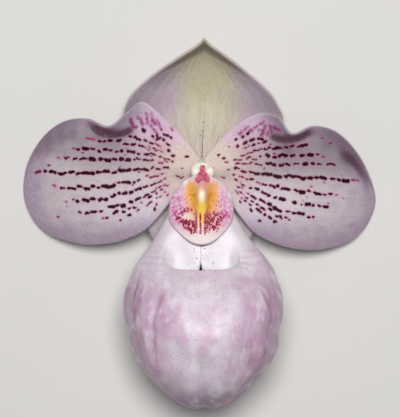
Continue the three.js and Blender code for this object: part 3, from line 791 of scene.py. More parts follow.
def petal_dashes(form):
    """Spots along the veins of a petal, beaded into dashes with gaps between. The last ones are unripe."""
    random = np.random.default_rng(form["seed"])
    side, spots = form["side"], []
    for height, start, end, half_width, share in VEIN_ROWS:
        end *= form["dashes"]
        out = start + random.uniform(0, 0.8)
        while out < end:
            far = (out - start) / (end - start)
            length = random.gamma(1.8, 0.65 * share) + 0.35 * share
            ripeness = random.uniform(0.7, 1) * (1 - 0.75 * smoothstep(far, 0.88, 1.02))
            aside = random.normal(0, 0.2)
            size = random.uniform(0.65, 1.1) * (0.5 + 0.5 * smoothstep(far, 0.03, 0.42))
            size *= 1 - 0.45 * smoothstep(far, 0.86, 1)
            for bead in np.arange(out, out + length, 0.4):
                aside += random.normal(0, 0.13)
                level = vein_height(form, bead, height) + aside
                spots.append((side * bead, level, half_width * size * random.uniform(0.6, 1.2), ripeness))
                aside *= 0.8
            out += length + random.gamma(1.8, 0.45 * (1.15 - share)) + 2 * half_width * size * 0.8
    for _ in range(STRAY_SPOTS):
        out, height, size = random.uniform(12, 42), random.uniform(-13, 13), random.uniform(0.06, 0.2)
        length = random.uniform(0.2, 3.5) * size
        on_rim = out >= 38 and height >= 4
        for bead in np.arange(0, 0 if on_rim else length, 0.15):
            spots.append((side * (out + bead), vein_height(form, out + bead, height), size, 0.6))
    return spots


def petal_marks(form, marks):
    """Round beads along some short marks, a little uneven in size and place."""
    random = np.random.default_rng(form["seed"])
    beads = []
    for out, up, last_out, last_up, half_width in marks:
        for u in np.linspace(0, 1, 2 + int(math.hypot(last_out - out, last_up - up) / 0.2)):
            drift = random.normal(0, 0.05, 2)
            x, y = out + (last_out - out) * u + drift[0], up + (last_up - up) * u + drift[1]
            beads.append((form["side"] * x, y, half_width * random.uniform(0.75, 1.1), 1))
    return beads


def petal_crest(form, place):
    """1 on the pale crest of the lobe by the sepal, and 0 elsewhere."""
    out, up = form["side"] * place[:, 0], place[:, 1]
    high = smoothstep(up + 0.25 * out, form["crest"], form["crest"] + 2.2)
    return high * smoothstep(out, 10, 13) * smoothstep(out, 24, 20)


def petal_dusk(form, place, along):
    """Painted shade on a petal: along its top and its margin, in its fold and in the valley along its rim.
    """
    out, up = form["side"] * place[:, 0], place[:, 1]
    dusk = 0.36 * smoothstep(along[:, 1], 0.68, 0.88) * smoothstep(out, 29, 35)
    dusk += (0.1 + 0.2 * smoothstep(-up, 7, 15)) * np.exp(-abs(along[:, 2]) / 1.8)
    below = np.interp(out, *np.transpose(form["fold"])) - up
    in_fold = bell(below, 0, np.where(below > 0, 1.0, 1.7))
    dusk += 1.05 * in_fold * smoothstep(out, 16.5, 20) * smoothstep(out, 32, 28)
    if form["rim"]:
        in_valley = bell(distance_to_line(place, form["rim"]), 0, 1.2) * smoothstep(out, 36.5, 41)
        dusk += in_valley * (0.52 - 0.2 * smoothstep(-up, 3, 8))
    return np.clip(dusk + patches(out, up, form["dusk"]), 0, 1)


def petal_shade(form, place):
    """How shaded a petal is: along its top, but less on the lobe by the sepal, and a little at its foot."""
    out, up, far = form["side"] * place[:, 0], place[:, 1], np.hypot(place[:, 0], place[:, 1])
    depth, start, climb = form["shade"]
    high = up - climb * np.maximum(out - 30, 0)
    shade = depth * smoothstep(high, start, 1) * smoothstep(far, 10, 17)
    shade *= 1 - 0.75 * bell(out, 13, 7) * smoothstep(up, 5, 10)
    shade *= 1 - 0.5 * bell(out, 15, 4.5) * smoothstep(up, -6, 2)
    return shade + 0.15 * smoothstep(-up, 14.5, 19) + 0.4 * bell(far, 6.5, 2.5) * bell(up, -3.8, 2.2)


def petal_tints(form, place, along, crest):
    """Where a petal is lilac, where painted light makes it paler, and where it is flushed."""
    out, up, far = form["side"] * place[:, 0], place[:, 1], np.hypot(place[:, 0], place[:, 1])
    lilac = np.exp(-abs(along[:, 2]) / 5.5) * smoothstep(far, 8, 22) + 0.15 * smoothstep(out, 34, 48)
    # painted light: paler over the lower middle and on the crest by the sepal
    light = 0.35 * bell(out, 13, 17) * bell(up, -12, 5.5) + 0.35 * crest * bell(out, 14, 3)
    blush = 0.8 * smoothstep(up, 2, 9) * smoothstep(out, 22, 14) * smoothstep(far, 4, 9) * (1 - 0.9 * crest)
    return {"lilac": np.clip(lilac, 0, 1), "light": light, "blush": blush}


def petal_skin():
    finish, tree, skin = new_finish("petal_skin", roughness=0.5, sheen=0.08, glow=0.35, shine=0.14)
    place, along = points_from_heart(tree), kept(tree, "along", "Vector")
    away = node(tree, "ShaderNodeVectorMath", {0: place}, operation="LENGTH").outputs["Value"]
    warm = times(tree, rising(tree, away, 7, 11), rising(tree, away, 17, 12, 0.6))
    lilac = plus(tree, kept(tree, "lilac"), uneven(tree, 0.9, 3.5, 4.0))
    dusk = plus(tree, kept(tree, "dusk"), uneven(tree, 0.4, 3.5, 4.0))
    veins = grain(tree, 0.012, 3.0, stretch=(0.05, 1, 0), where=along)
    margin = absolute(tree, split(tree, along)[2])
    feather = plus(tree, kept(tree, "feather"), uneven(tree, 1.0, 0.7, 3.0))
    spot = plus(tree, kept(tree, "spot"), uneven(tree, 0.34, 0.35, 1.0))
    ripe = rising(tree, kept(tree, "ripe"), 0.35, 0.75)
    unripe = mixed(tree, ripe, paint("9a3c70"), paint("520a2e"))
    darkest = mixed(tree, rising(tree, spot, 0.04, -0.16), unripe, paint("26040f"))
    colour = layered(tree, paint("d8c7b9"), [
        (rising(tree, away, 5, 18), "cabfc2"),
        (warm, "c4a39f"),
        (rising(tree, lilac, 0.0, 0.9), "ab98ab"),
        # pale specks: painted glints of the petal's sparkling cells
        (rising(tree, grain(tree, 0.4, 1.0), 0.55, 0.72, 0.22), "ece4ec"),
        # painted light over the lower middle and the crest
        (kept(tree, "light"), "f3ecf2"),
        (kept(tree, "blush"), "e1c0da"),
        (kept(tree, "shade"), "60565b"),
        # painted shade in the fold, in the valley along the rim, along the top and at the margin
        (rising(tree, dusk, 0.1, 1.0), "553747"),
        (rising(tree, veins, 0.55, 0.72, 0.3), "9c8594"),
        (rising(tree, grain(tree, 0.3, 1.0), 0.45, 0.75, 0.35), "8f7c8e"),
        # a painted highlight along the lit margin
        (rising(tree, margin, 0.45, 0.1, 0.35), "d2c6d0"),
        (rising(tree, feather, 0.62, 0.0, 0.62), "a9558f"),
        (rising(tree, feather, 0.24, -0.3, 0.75), "76285a"),
        (rising(tree, spot, 0.42, 0.0, 0.65), "b4588a"),
        (rising(tree, spot, 0.11, -0.03), mixed(tree, ripe, unripe, darkest)),
    ])
    colour_skin(tree, skin, colour, grain(tree, 0.3, 1.0), 0.035)
    return finish


petal_finish = petal_skin()
petal_hairs = hair_finish("petal_hairs", "d8cbd6")
for name, form in PETALS.items():
    petal = blade(name, petal_surface(form), PETAL_MESH, PETAL_THICKNESS, petal_relief(form))
    place, along = points_of(petal), points_of(petal, "along")
    back, crest = along[:, 2] < 0, petal_crest(form, place)
    streaks, spots = (petal_marks(form, marks) for marks in MARKS[name])
    gap, ripe = nearest_spot(place, petal_dashes(form) + spots)
    feather, _ = nearest_spot(place, streaks)
    keep(petal.data, spot=gap + 0.25 * back, ripe=ripe, feather=feather + 0.3 * back)
    keep(petal.data, dusk=petal_dusk(form, place, along), shade=petal_shade(form, place))
    keep(petal.data, **petal_tints(form, place, along, crest))
    hairy = np.where(abs(along[:, 2]) < 0.35, 1 - 0.7 * crest, 0.05 * back)
    grow_hairs(petal, hairy, petal_hairs, density=16, length=0.5, seed=form["seed"])
    dress(petal, petal_finish, name)


# ---- lip -----------------------------------------------------------------------------------------
# One petal blown up into a slipper: an open pouch on a narrow neck, pink with darker veins, softly ribbed.
# The front wall ends in a free rim. Behind it the white side lobes fold in from the neck to meet at a slit.

LIP_WALL = 1.1
LIP_STATIONS = [
    # height, half width, back and front of the middle
    (-3.2, 0.0, 3.4, 3.4), (-3.7, 2.4, 1.8, 5.4), (-6.0, 4.3, 1.4, 7.6), (-10.0, 6.6, 1.1, 9.8),
    (-15.0, 9.4, 0.7, 11.7), (-20.0, 12.3, 0.2, 13.6), (-24.0, 15.1, -0.2, 15.8), (-28.3, 18.1, -0.6, 20.4),
    (-32.0, 19.7, -0.8, 25.6), (-36.0, 20.4, -0.8, 29.5), (-41.0, 20.2, -0.5, 31.5),
    (-46.5, 19.0, 0.4, 31.2), (-52.0, 16.9, 2.2, 28.8), (-57.0, 13.2, 4.8, 25.4),
    (-61.0, 8.9, 8.0, 21.4), (-63.7, 4.9, 11.0, 18.0), (-64.9, 0.0, 14.5, 14.5),
]
LIP_RIBS = 10
LIP_RIB_HEIGHT = 0.25
TOE_NOTCH = 1.0
LIP_LEAN = 0.6
LIP_MESH = (150, 200)
HOLLOW_MESH = (90, 120)
MOUTH_MESH = (60, 40)
SLIT_MESH = (20, 2)
LIP_SKIN_MESH_SIZE = 0.4
MOUTH_OUTLINE = [(-8, 3.6), (-12, 5.5), (-16, 7.1), (-20, 8.8), (-23.5, 10.0), (-26, 9.7), (-27.3, 8.2),
                 (-28.0, 5.0), (-28.2, 0)]
SIDE_LOBES_OUTLINE = [(-7.4, 4.0), (-12, 6.2), (-16, 7.9), (-20, 9.6), (-24, 10.7), (-28, 10.2),
                      (-31.4, 8.4), (-33.8, 5.0), (-34.6, 0)]
SIDE_LOBES_MESH = (80, 70)
SLIT_OUTLINE = [(-25.4, 0.1), (-26.6, 0.2), (-27.5, 0.3), (-28.4, 0.42), (-31, 0.8), (-36, 1.5)]
SLIT_PLACE = -0.2
# The slit's opening is painted dark as the shade inside it, where the mesh is too coarse for the gap.
SLIT_HALVES = [(25.0, 0.0), (27.0, 0.22), (28.6, 0.4)]  # how far under the heart, half width
LIP_CREASES = [
    # how deep, and places down the front of the pouch, across and up from the heart
    (0.9, [(-9.5, -32.0), (-10.9, -36.5), (-12.2, -41.4), (-12.1, -46.2), (-11.9, -50.0), (-11.2, -53.5)]),
    (1.0, [(-16.6, -33.5), (-16.4, -37.2), (-17.5, -40.5), (-18.6, -43.2)]),
    (0.9, [(-16.2, -45.4), (-16.9, -49.0)]),
    (1.0, [(14.8, -31.5), (17.0, -36.0), (19.2, -40.0)]),
    (0.4, [(12.4, -44.0), (13.0, -50.0), (12.6, -54.0)]),
]
LIP_BULGES = [
    # how far its sides stand out at some heights, on the left and then on the right
    [(-62, 0.3), (-60, 0), (-54.5, -0.1), (-51.7, -0.5), (-47, -0.35), (-42, -0.1), (-33.5, 0), (-31, -0.4),
     (-28, 0)],
    [(-62, 0.3), (-60, 0), (-57.5, -0.5), (-55, 0.1), (-52, 0.5), (-48, 0.5), (-45.4, -0.2), (-43.4, -0.5),
     (-40, 0), (-34, -0.15), (-31, -0.25), (-28.8, 0.5), (-25, 0.8), (-22, 0.3), (-18, 0)],
]

LIP_PATCHES = {
    # layer: ovals with their middle across and up from the heart, their half width and height, and strength
    # paler patches of painted light on the pouch's front, and negative ones of painted shade
    "light": [
        (-1, -31.5, 9, 3.5, 0.5), (0, -51, 4, 3, 0.5), (-2, -57, 3, 2.5, 0.35), (-14, -27.5, 5, 5, 0.3),
        (-0.9, -43, 2.5, 3, -0.35), (2.1, -39.9, 2.5, 3, 0.2), (8, -37, 3, 3, -0.3), (14.2, -33, 3, 4, 0.3),
        (11.2, -50.5, 3, 4, -0.3), (9.5, -59.5, 4, 3, -0.3)],
    # dim, and valley below: painted shade at the pouch's lower edges, where it turns away; flush is its own
    # pink
    "dim": [(-11, -56.5, 4, 4, 0.6), (12, -50, 3, 4, 0.3)],
    "flush": [(-12, -40, 3.5, 8, 1), (13.5, -38, 3, 7, 0.9), (-7.4, -37.5, 3, 3.5, 0.6)],
    "valley": [(-12, -55.5, 3, 3.5, 0.5)],
}


def lip_measures(level, inset=0.0):
    """The lip's height, half width, back and front at a level from 0 at the neck to 1 at the toe."""
    stations = np.array(LIP_STATIONS)
    stations[1:-1] += np.array([0, -inset, inset, -inset])
    stations[[0, -1], 0] += [-inset, inset]
    height, half, back, front = stations[-2]
    found = np.moveaxis(through(stations, level, (height, -half, front, back)), -1, 0)
    found[1] = np.maximum(found[1], 0)
    found[3] = np.maximum(found[3], found[2])
    return found


def lip_body(name, mesh, inset=0.0):
    """The slipper's outside, or its inside where inset is the wall's thickness."""
    level, turn = round_grid(mesh)
    height, half, back, front = lip_measures(level, inset)
    ribs = 0 if inset else LIP_RIB_HEIGHT * smoothstep(level, 0.35, 0.55) * (1 - smoothstep(level, 0.88, 1))
    swell = ribs * np.cos(LIP_RIBS * turn + math.pi)
    depth = (front - back) / 2
    x = (half + swell) * np.sin(turn)
    y = height + TOE_NOTCH * bell(x, 0, 1.7) * smoothstep(level, 0.82, 1)
    x = x + LIP_LEAN * smoothstep(-height, 24, 36)
    return sew(name, [np.stack([x, y, back + depth + (depth + swell) * np.cos(turn)], axis=-1)])


def lobe_depth(x, y, t):
    """How far forward the side lobes lie: two pillows with a seam between, rounded off at the sides."""
    rise = 12.9 - 5.5 * (np.clip(y + 34.6, 0, 27) / 26.6) ** 1.7
    pillow = 0.4 * (1 - np.cos(math.pi * np.minimum(abs(x), 7) / 7))
    pillow += 2.1 * smoothstep(abs(x), 7, 10.5) * bell(y, -26.2, 2.2)
    return rise + pillow - 0.7 * (2 * t - 1) ** 16


def slab(name, outline, low, high, mesh):
    """A closed body over an outline of heights with half widths, between two depths."""
    s, t = np.meshgrid(np.linspace(0, 1, mesh[0]), np.linspace(0, 1, mesh[1]), indexing="ij")
    x, y = even_plan(outline, s, t)
    front, back = (np.stack([x, y, depth(x, y, t) + 0 * x], axis=-1) for depth in (high, low))
    front[-1], back[-1] = front[-1].mean(axis=0), back[-1].mean(axis=0)
    edges = np.s_[0], np.s_[-1], np.s_[:, 0], np.s_[:, -1]
    return sew(name, [front, back, *(np.stack([front[edge], back[edge]]) for edge in edges)])


def cut_or_join(piece, operation, other):
    """Cuts another body out of a piece, or joins it on."""
    step = piece.modifiers.new(operation.lower(), "BOOLEAN")
    step.operation, step.solver, step.object = operation, "MANIFOLD", other


def settle(piece, used=(), mesh_size=0.0, softness=0):
    """Makes a plain mesh of a piece and its modifiers, on fresh soft skin where a mesh size is given."""
    if mesh_size:
        skin_step = piece.modifiers.new("skin", "REMESH")
        skin_step.mode, skin_step.voxel_size = "VOXEL", mesh_size / 1000
        soften = piece.modifiers.new("soften", "SMOOTH")
        soften.factor, soften.iterations = 0.5, softness
    plain = bpy.data.meshes.new_from_object(piece.evaluated_get(bpy.context.evaluated_depsgraph_get()))
    piece.modifiers.clear()
    piece.data = plain
    plain.shade_smooth()
    for other in used:
        bpy.data.objects.remove(other)


def press_out(piece, amount):
    """Moves each point of a piece out along its normal by an amount in millimetres."""
    normals = np.zeros(len(piece.data.vertices) * 3, np.float32)
    piece.data.vertex_normals.foreach_get("vector", normals)
    places = points_of(piece) + normals.reshape(-1, 3) * amount[:, None]
    piece.data.vertices.foreach_set("co", ((places + HEART) / 1000).astype(np.float32).ravel())
    piece.data.update()


lip = lip_body("lip_pouch", LIP_MESH)
hollow = lip_body("hollow", HOLLOW_MESH, LIP_WALL)
mouth = slab("mouth", MOUTH_OUTLINE, lambda x, y, t: lobe_depth(x, y, t) - 0.5, lambda x, y, t: 40,
             MOUTH_MESH)
side_lobes = slab("side_lobes", SIDE_LOBES_OUTLINE, lambda x, y, t: lobe_depth(x, y, t) - 1, lobe_depth,
                  SIDE_LOBES_MESH)
slit = slab("slit", SLIT_OUTLINE, lambda x, y, t: 5, lambda x, y, t: 20, SLIT_MESH)
slit.data.transform(Matrix.Translation((SLIT_PLACE / 1000, 0, 0)))
cut_or_join(lip, "DIFFERENCE", hollow)
cut_or_join(lip, "DIFFERENCE", mouth)
cut_or_join(side_lobes, "DIFFERENCE", slit)
cut_or_join(lip, "UNION", side_lobes)
settle(lip, [hollow, mouth, side_lobes, slit], LIP_SKIN_MESH_SIZE, 4)

# Where each point lies: across and forward are 1 at the pouch's outside, turn is round it, level down it.
place = points_of(lip)
x, y = place[:, 0], place[:, 1]
levels = np.linspace(0, 1, 400)
level = np.interp(-y, -lip_measures(levels)[0], levels)
_, half, back, front = lip_measures(level)
depth = np.maximum(front - back, 0.1) / 2
across, forward = x / np.maximum(half, 0.1), (place[:, 2] - back - depth) / depth
turn, outside = np.arctan2(across, forward), smoothstep(np.hypot(across, forward), 0.93, 0.98)
bag, sides = smoothstep(-y, 26, 34), smoothstep(abs(across), 0.4, 0.95)

# Its relief: soft folds and pleats round it, lumps, a groove down to the toe, wrinkles below its shoulders,
# and creases.
ways = np.stack([np.sin(turn) * 6, np.cos(turn) * 6, level * 2.2], axis=1)
folds, pleats = ripple(ways, 0.85, 5), ripple(ways, 0.38, 7)
lumps = 0.3 * ripple(place, 6, 8) + 0.1 * ripple(place, 2.6, 2)
groove = -0.5 * bell(x, 0, 1.1) * smoothstep(-y, 44, 58)
relief = bag * ((0.1 + 0.36 * sides) * folds + (0.04 + 0.07 * sides) * pleats + lumps + groove)
shoulder = smoothstep(abs(x), 8.5, 10.5) * smoothstep(abs(x), 17, 14) * bell(y, -26, 3)
wrinkles = 0.09 * np.cos((y + 0.12 * abs(x) + 0.5 * ripple(place, 4, 3)) * 2 * math.pi / 1.5) * shoulder
crease = np.zeros(len(place))
for deep, line in LIP_CREASES:
    fading = smoothstep(y, line[-1][1], line[-1][1] + 3) * smoothstep(y, line[0][1], line[0][1] - 3)
    pressed = deep * bell(distance_to_line(place, line), 0, 0.65) * fading * (forward > -0.2)
    crease = np.maximum(crease, pressed)
bulges = [np.interp(y, *np.transpose(side)) for side in LIP_BULGES]
bulge = np.where(x < 0, *bulges) * smoothstep(abs(across), 0.7, 0.95)
press_out(lip, outside * (relief + wrinkles + bulge - 0.45 * crease))

# What its skin reads.
mouth_heights, mouth_halves = np.transpose(MOUTH_OUTLINE)
lobes = smoothstep(np.interp(-y, -mouth_heights, mouth_halves) + 0.9 - abs(x), -0.9, 0.9)
lobes *= smoothstep(y, -35, -34) * smoothstep(17.2 - place[:, 2], 0, 1.5)
# Painted light and shade for the skin: paler lit patches, and painted shade at the lower edges, in the
# folds' low places (valley) and towards the sides (sides).
light, dim, flush, hollows = (patches(x, y, ovals) for ovals in LIP_PATCHES.values())
valley = (0.2 + 0.8 * sides) * bag * outside * smoothstep(-folds - 0.4 * pleats, 0.2, 1.3) + hollows
# painted shade of the slit's opening, too narrow for the mesh
slit_half = np.interp(-y, *np.transpose(SLIT_HALVES))
slit_share = smoothstep(slit_half + 0.12 - abs(x - SLIT_PLACE), 0, 0.24) * lobes * (y > -29)
keep(lip.data, along=ways, lobes=lobes, slit=slit_share, neck=smoothstep(y, -27, -15) * outside)
keep(lip.data, sides=np.clip(sides * bag + dim, 0, 1), valley=np.clip(valley, 0, 1))
keep(lip.data, light=light * outside, flush=np.clip(flush, 0, 1) * outside, crease=crease * outside)


def lip_skin():
    finish, tree, skin = new_finish("lip_skin", roughness=0.42, sheen=0.2, glow=0.35)
    across, up, _ = split(tree, points_from_heart(tree))
    lobes, sides = kept(tree, "lobes"), kept(tree, "sides")
    # Darker and purple-tinged towards the toe, and darker at the sides: painted shade where the pouch turns
    # away from the lamp.
    foot = rising(tree, plus(tree, up, times(tree, grain(tree, 6.0), 6)), -50, -63, 0.9)
    pink = rising(tree, grain(tree, 4.5, 5.0, stretch=(1, 0.5, 1)), 0.45, 0.66, 0.6)
    pink = times(tree, pink, rising(tree, up, -62, -48))
    flushed = times(tree, kept(tree, "flush"), rising(tree, grain(tree, 3.5, 3.0), 0.25, 0.6))
    pink = plus(tree, times(tree, pink, 0.7), times(tree, flushed, 0.75))
    light = rising(tree, grain(tree, 3.2, 4.0, stretch=(1, 0.55, 0.6)), 0.48, 0.68, 0.5)
    # painted shade in the low places of the folds
    valley = times(tree, kept(tree, "valley"), rising(tree, grain(tree, 3.0), 0.3, 0.6, 0.75))
    crease = times(tree, kept(tree, "crease"), rising(tree, grain(tree, 3.5, 3.0), 0.2, 0.65, 0.65))
    ways = kept(tree, "along", "Vector")
    streaks = rising(tree, grain(tree, 0.5, 3.0, stretch=(1, 1, 0.4), where=ways), 0.55, 0.7)
    streaks = times(tree, streaks, rising(tree, grain(tree, 4.5), 0.45, 0.62))
    streaks = times(tree, streaks, plus(tree, times(tree, sides, 0.5), 0.12))
    white = layered(tree, paint("e9e4e8"), [
        (rising(tree, grain(tree, 3.5), 0.4, 0.7), "dfd5dc"),
        # painted shadow of the staminode on the side lobes
        (times(tree, rising(tree, across, 2, -3, 0.2), rising(tree, up, -29, -25)), "d3c6cf"),
    ])
    aside = absolute(tree, plus(tree, across, -SLIT_PLACE))
    near_slit = rising(tree, plus(tree, aside, times(tree, grain(tree, 5.0), 7)), 7.5, 4.5)
    dots = times(tree, rising(tree, grain(tree, 0.55, 0.0), 0.7, 0.75, 0.8), lobes)
    colour = layered(tree, paint("dfd3dd"), [
        (rising(tree, grain(tree, 8.0, 3.0), 0.35, 0.68), "d2bbcd"),
        # painted shade towards the toe and at the sides
        (foot, "a18ba0"),
        (rising(tree, up, -57.5, -63, 0.6), "6a4664"),
        (times(tree, sides, 0.85), "a9889f"),
        (pink, "c698ba"),
        # paler patches: random paler tone, with painted light and shade from the ovals
        (plus(tree, light, kept(tree, "light")), "ebe3eb"),
        # painted shade in the folds' low places
        (valley, "955b86"),
        (crease, "9a5484"),
        (rising(tree, grain(tree, 0.6, 0.0), 0.76, 0.81, 0.35), "845a80"),
        (streaks, "8a527c"),
        (rising(tree, grain(tree, 0.35, 1.0), 0.45, 0.75, 0.25), "9c86a0"),
        (times(tree, kept(tree, "neck"), 0.9), "e9e1e6"),
        (lobes, white),
        (times(tree, rising(tree, aside, 0.3, 0.05, 0.4), lobes), "7f7480"),
        # painted shade inside the slit's opening
        (kept(tree, "slit"), "1c1218"),
        (times(tree, dots, near_slit), "70446c"),
    ])
    colour_skin(tree, skin, colour, grain(tree, 0.35, 1.0), 0.035)
    return finish


dress(lip, lip_skin(), "lip_pouch")


# ---- column --------------------------------------------------------------------------------------
# The fused stamens and style: a short leaning post that carries the staminode, with the broad stigma under
# its head. It is firm, waxy and cream.

COLUMN_STATIONS = [
    # forward, down, half width, half height
    (-0.4, 0.5, 1.6, 1.3), (1.6, 0.6, 1.5, 1.3), (4.6, 1.3, 1.9, 1.6), (6.8, 1.9, 2.9, 1.8),
    (7.9, 2.4, 2.4, 1.3),
]
COLUMN_MESH = (50, 60)
COLUMN_SKIN_MESH_SIZE = 0.17
LUMP_MESH = (40, 60)
STIGMA = ((0, -5.6, 9.4), (2.5, 2.6, 1.1))
STIGMA_STALK = ((0, -3.6, 8.2), (1.2, 2.2, 1.2))


def lump(name, middle, radii, dent=None):
    """A rounded lump of flesh. dent gives how much of the radius is missing in each direction."""
    fall, turn = round_grid(LUMP_MESH)
    fall = math.pi * fall
    way = np.stack([np.sin(fall) * np.sin(turn), np.sin(fall) * np.cos(turn), np.cos(fall)], axis=-1)
    size = 1 - dent(way) if dent else np.ones(fall.shape)
    return sew(name, [np.array(middle) + way * size[..., None] * np.array(radii)])


column_share, column_turn = round_grid(COLUMN_MESH)
forward, down, wide, high = np.moveaxis(through(COLUMN_STATIONS, column_share), -1, 0)
column_rings = np.stack([wide * np.sin(column_turn), high * np.cos(column_turn) - down, forward], axis=-1)
column = sew("column", [closed(column_rings)])
stigma = lump("stigma", *STIGMA, dent=lambda way: 0.12 * bell(way[..., 0], 0, 0.12))
stigma_stalk = lump("stigma_stalk", *STIGMA_STALK)
cut_or_join(column, "UNION", stigma)
cut_or_join(column, "UNION", stigma_stalk)
settle(column, [stigma, stigma_stalk], COLUMN_SKIN_MESH_SIZE, 5)


def waxy_skin(name, first, second, coat):
    finish, tree, skin = new_finish(name, roughness=0.48, glow=0.35, coat=coat)
    colour = layered(tree, paint(first), [(grain(tree, 1.5), second)])
    colour_skin(tree, skin, colour, grain(tree, 0.2), 0.03)
    return finish


dress(column, waxy_skin("column_wax", "fffae9", "fbeed5", 0.1), "column")


# ---- anthers -------------------------------------------------------------------------------------
# Two pale lumps of sticky pollen, one on each side of the staminode's neck. Each is waxy and rounded, with
# a groove down its middle.

ANTHER_RADII = (0.64, 0.58, 0.54)  # of the anther's box


def anther_groove(way):
    return 0.07 * bell(way[..., 0], 0, 0.16)


for name in ("anther_left", "anther_right"):
    low, high = (np.array(corner) * 1000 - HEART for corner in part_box(name))
    middle = (low + high) / 2 * (0.85, 1, 1) + (0.3, 0, 0)
    anther = lump(name, middle, (high - low) * ANTHER_RADII, anther_groove)
    press_out(anther, 0.05 * ripple(points_of(anther), 0.5, 4))
    dress(anther, waxy_skin(name + "_wax", "efeadc", "e5dcc8", 0.1), name)


# ---- staminode -----------------------------------------------------------------------------------
# The shield in the middle of the flower, on the column's head: waxy and domed, with a yellow ridge between
# two orange hollows, a magenta neck, crimson speckles below and a white tip.

STAMINODE_THICKNESS = 1.1
STAMINODE_MESH = (190, 160)
STAMINODE_OUTLINE = [
    (-0.9, 0.75), (-2.6, 0.8), (-3.9, 2.5), (-4.8, 4.0), (-6.6, 5.8), (-9.0, 7.6), (-11.6, 8.4),
    (-14.4, 8.5), (-17.0, 7.5), (-19.4, 5.2), (-21.3, 2.6), (-21.9, 0),
]
SPECKLE_BANDS = [
    # how many strokes, how wide, and the line they lie along
    (84, 0.42, [(-7.1, -13.6), (-6.0, -14.8), (-4.7, -15.7), (-3.2, -16.0), (-2.2, -16.4), (-1.7, -17.3)]),
    (16, 0.25, [(-4.6, -16.9), (-3.7, -17.3), (-2.8, -17.7), (-1.9, -18.1)]),
    (13, 0.3, [(0.9, -17.6), (2.0, -17.5), (3.2, -17.0), (4.4, -16.3)]),
]
RIGHT_STROKES = 112
SIDE_STROKES = 70
LEFT_STROKES = 26
SPECKLE_LINES = [(-1.45, -14.8, -18.6), (-0.3, -13.6, -18.9), (0.9, -14.0, -19.4)]  # across, top, foot
ZONES = {
    # layer: middle, radii, strength and squareness of each of its ovals
    "peach": [((0.3, -6.8), (2.4, 1.5), 1.0, 2), ((-3.2, -12.0), (1.6, 3.2), 0.95, 2),
              ((3.3, -12.0), (1.6, 3.2), 0.95, 2), ((3.4, -7.0), (1.6, 1.8), 0.7, 2)],
    "orange": [((-2.6, -8.2), (1.8, 3.0), 1.15, 2.5), ((2.7, -8.9), (1.9, 3.2), 1.15, 2.5),
               ((-1.7, -12.2), (1.2, 3.0), 0.85, 2.5), ((1.7, -12.6), (1.1, 2.9), 0.85, 2.5)],
    "rust": [((-1.4, -14.8), (0.55, 2.4), 0.95, 3), ((1.6, -14.4), (0.65, 2.6), 0.95, 3),
             ((-2.0, -11.0), (0.5, 1.6), 0.4, 2), ((1.6, -9.5), (0.45, 1.8), 0.4, 2),
             ((2.9, -8.8), (1.3, 2.2), 0.42, 2), ((1.6, -15.9), (0.8, 1.1), 0.8, 2)],
    "yellow": [((0, -11.6), (1.15, 1.9), 1.0, 4), ((0.05, -14.0), (0.9, 1.8), 0.8, 4),
               ((-0.8, -15.8), (0.33, 1.5), 0.55, 4), ((0.3, -15.8), (0.33, 1.5), 0.55, 4)],
    # a painted highlight on the middle of the ridge, then two white blotches of its own
    "light": [((0.05, -8.9), (0.95, 1.45), 1.05, 2), ((-3.9, -14.3), (1.2, 0.7), 0.7, 2),
              ((4.5, -11.9), (0.9, 0.7), 0.45, 2)],
    # painted highlights along the edges of the right and left shoulders
    "rim": [((7.5, -8.8), (0.7, 1.9), 1.0, 2), ((-4.3, -5.1), (0.6, 0.9), 0.8, 2)],
}
MAGENTA_NECK = [
    # how far under the heart, half width
    (0, 0.5), (1.0, 0.55), (2.4, 0.7), (3.5, 1.4), (4.6, 2.0), (5.4, 1.75), (6.4, 1.3),
]


def staminode_surface(s, t):
    """The dome of the shield, with a low ridge down its middle."""
    x, y = even_plan(STAMINODE_OUTLINE, s, t)
    aside = np.clip(x / 6, 0, 1) * (0.45 * bell(y, -6.8, 2.4) - 0.34 * bell(y, -16, 3.8))
    x = x + 0.25 * smoothstep(y, -4.6, -2.6) + aside
    spine = 9.7 + 3.9 * smoothstep(-y, 0.5, 8) - 0.5 * smoothstep(-y, 12, 21)
    ridge = 0.9 * bell(x, 0, 1.3) * bell(-y, 8.6, 3.6)
    return np.stack([x, y, spine + ridge - 0.034 * x * x], axis=-1)


def staminode_relief(s, t, place):
    """A thin ridge down the shield's middle between two hollows, and a soft waviness all over."""
    x, y = place[..., 0], place[..., 1]
    ridge = 0.35 * bell(x, 0, 0.8) * bell(-y, 9.5, 5)
    hollows = -0.35 * bell(abs(x), 2.8, 1.5) * bell(-y, 8.6, 3.4)
    return ridge + hollows + 0.1 * ripple(place, 2.5, 3)


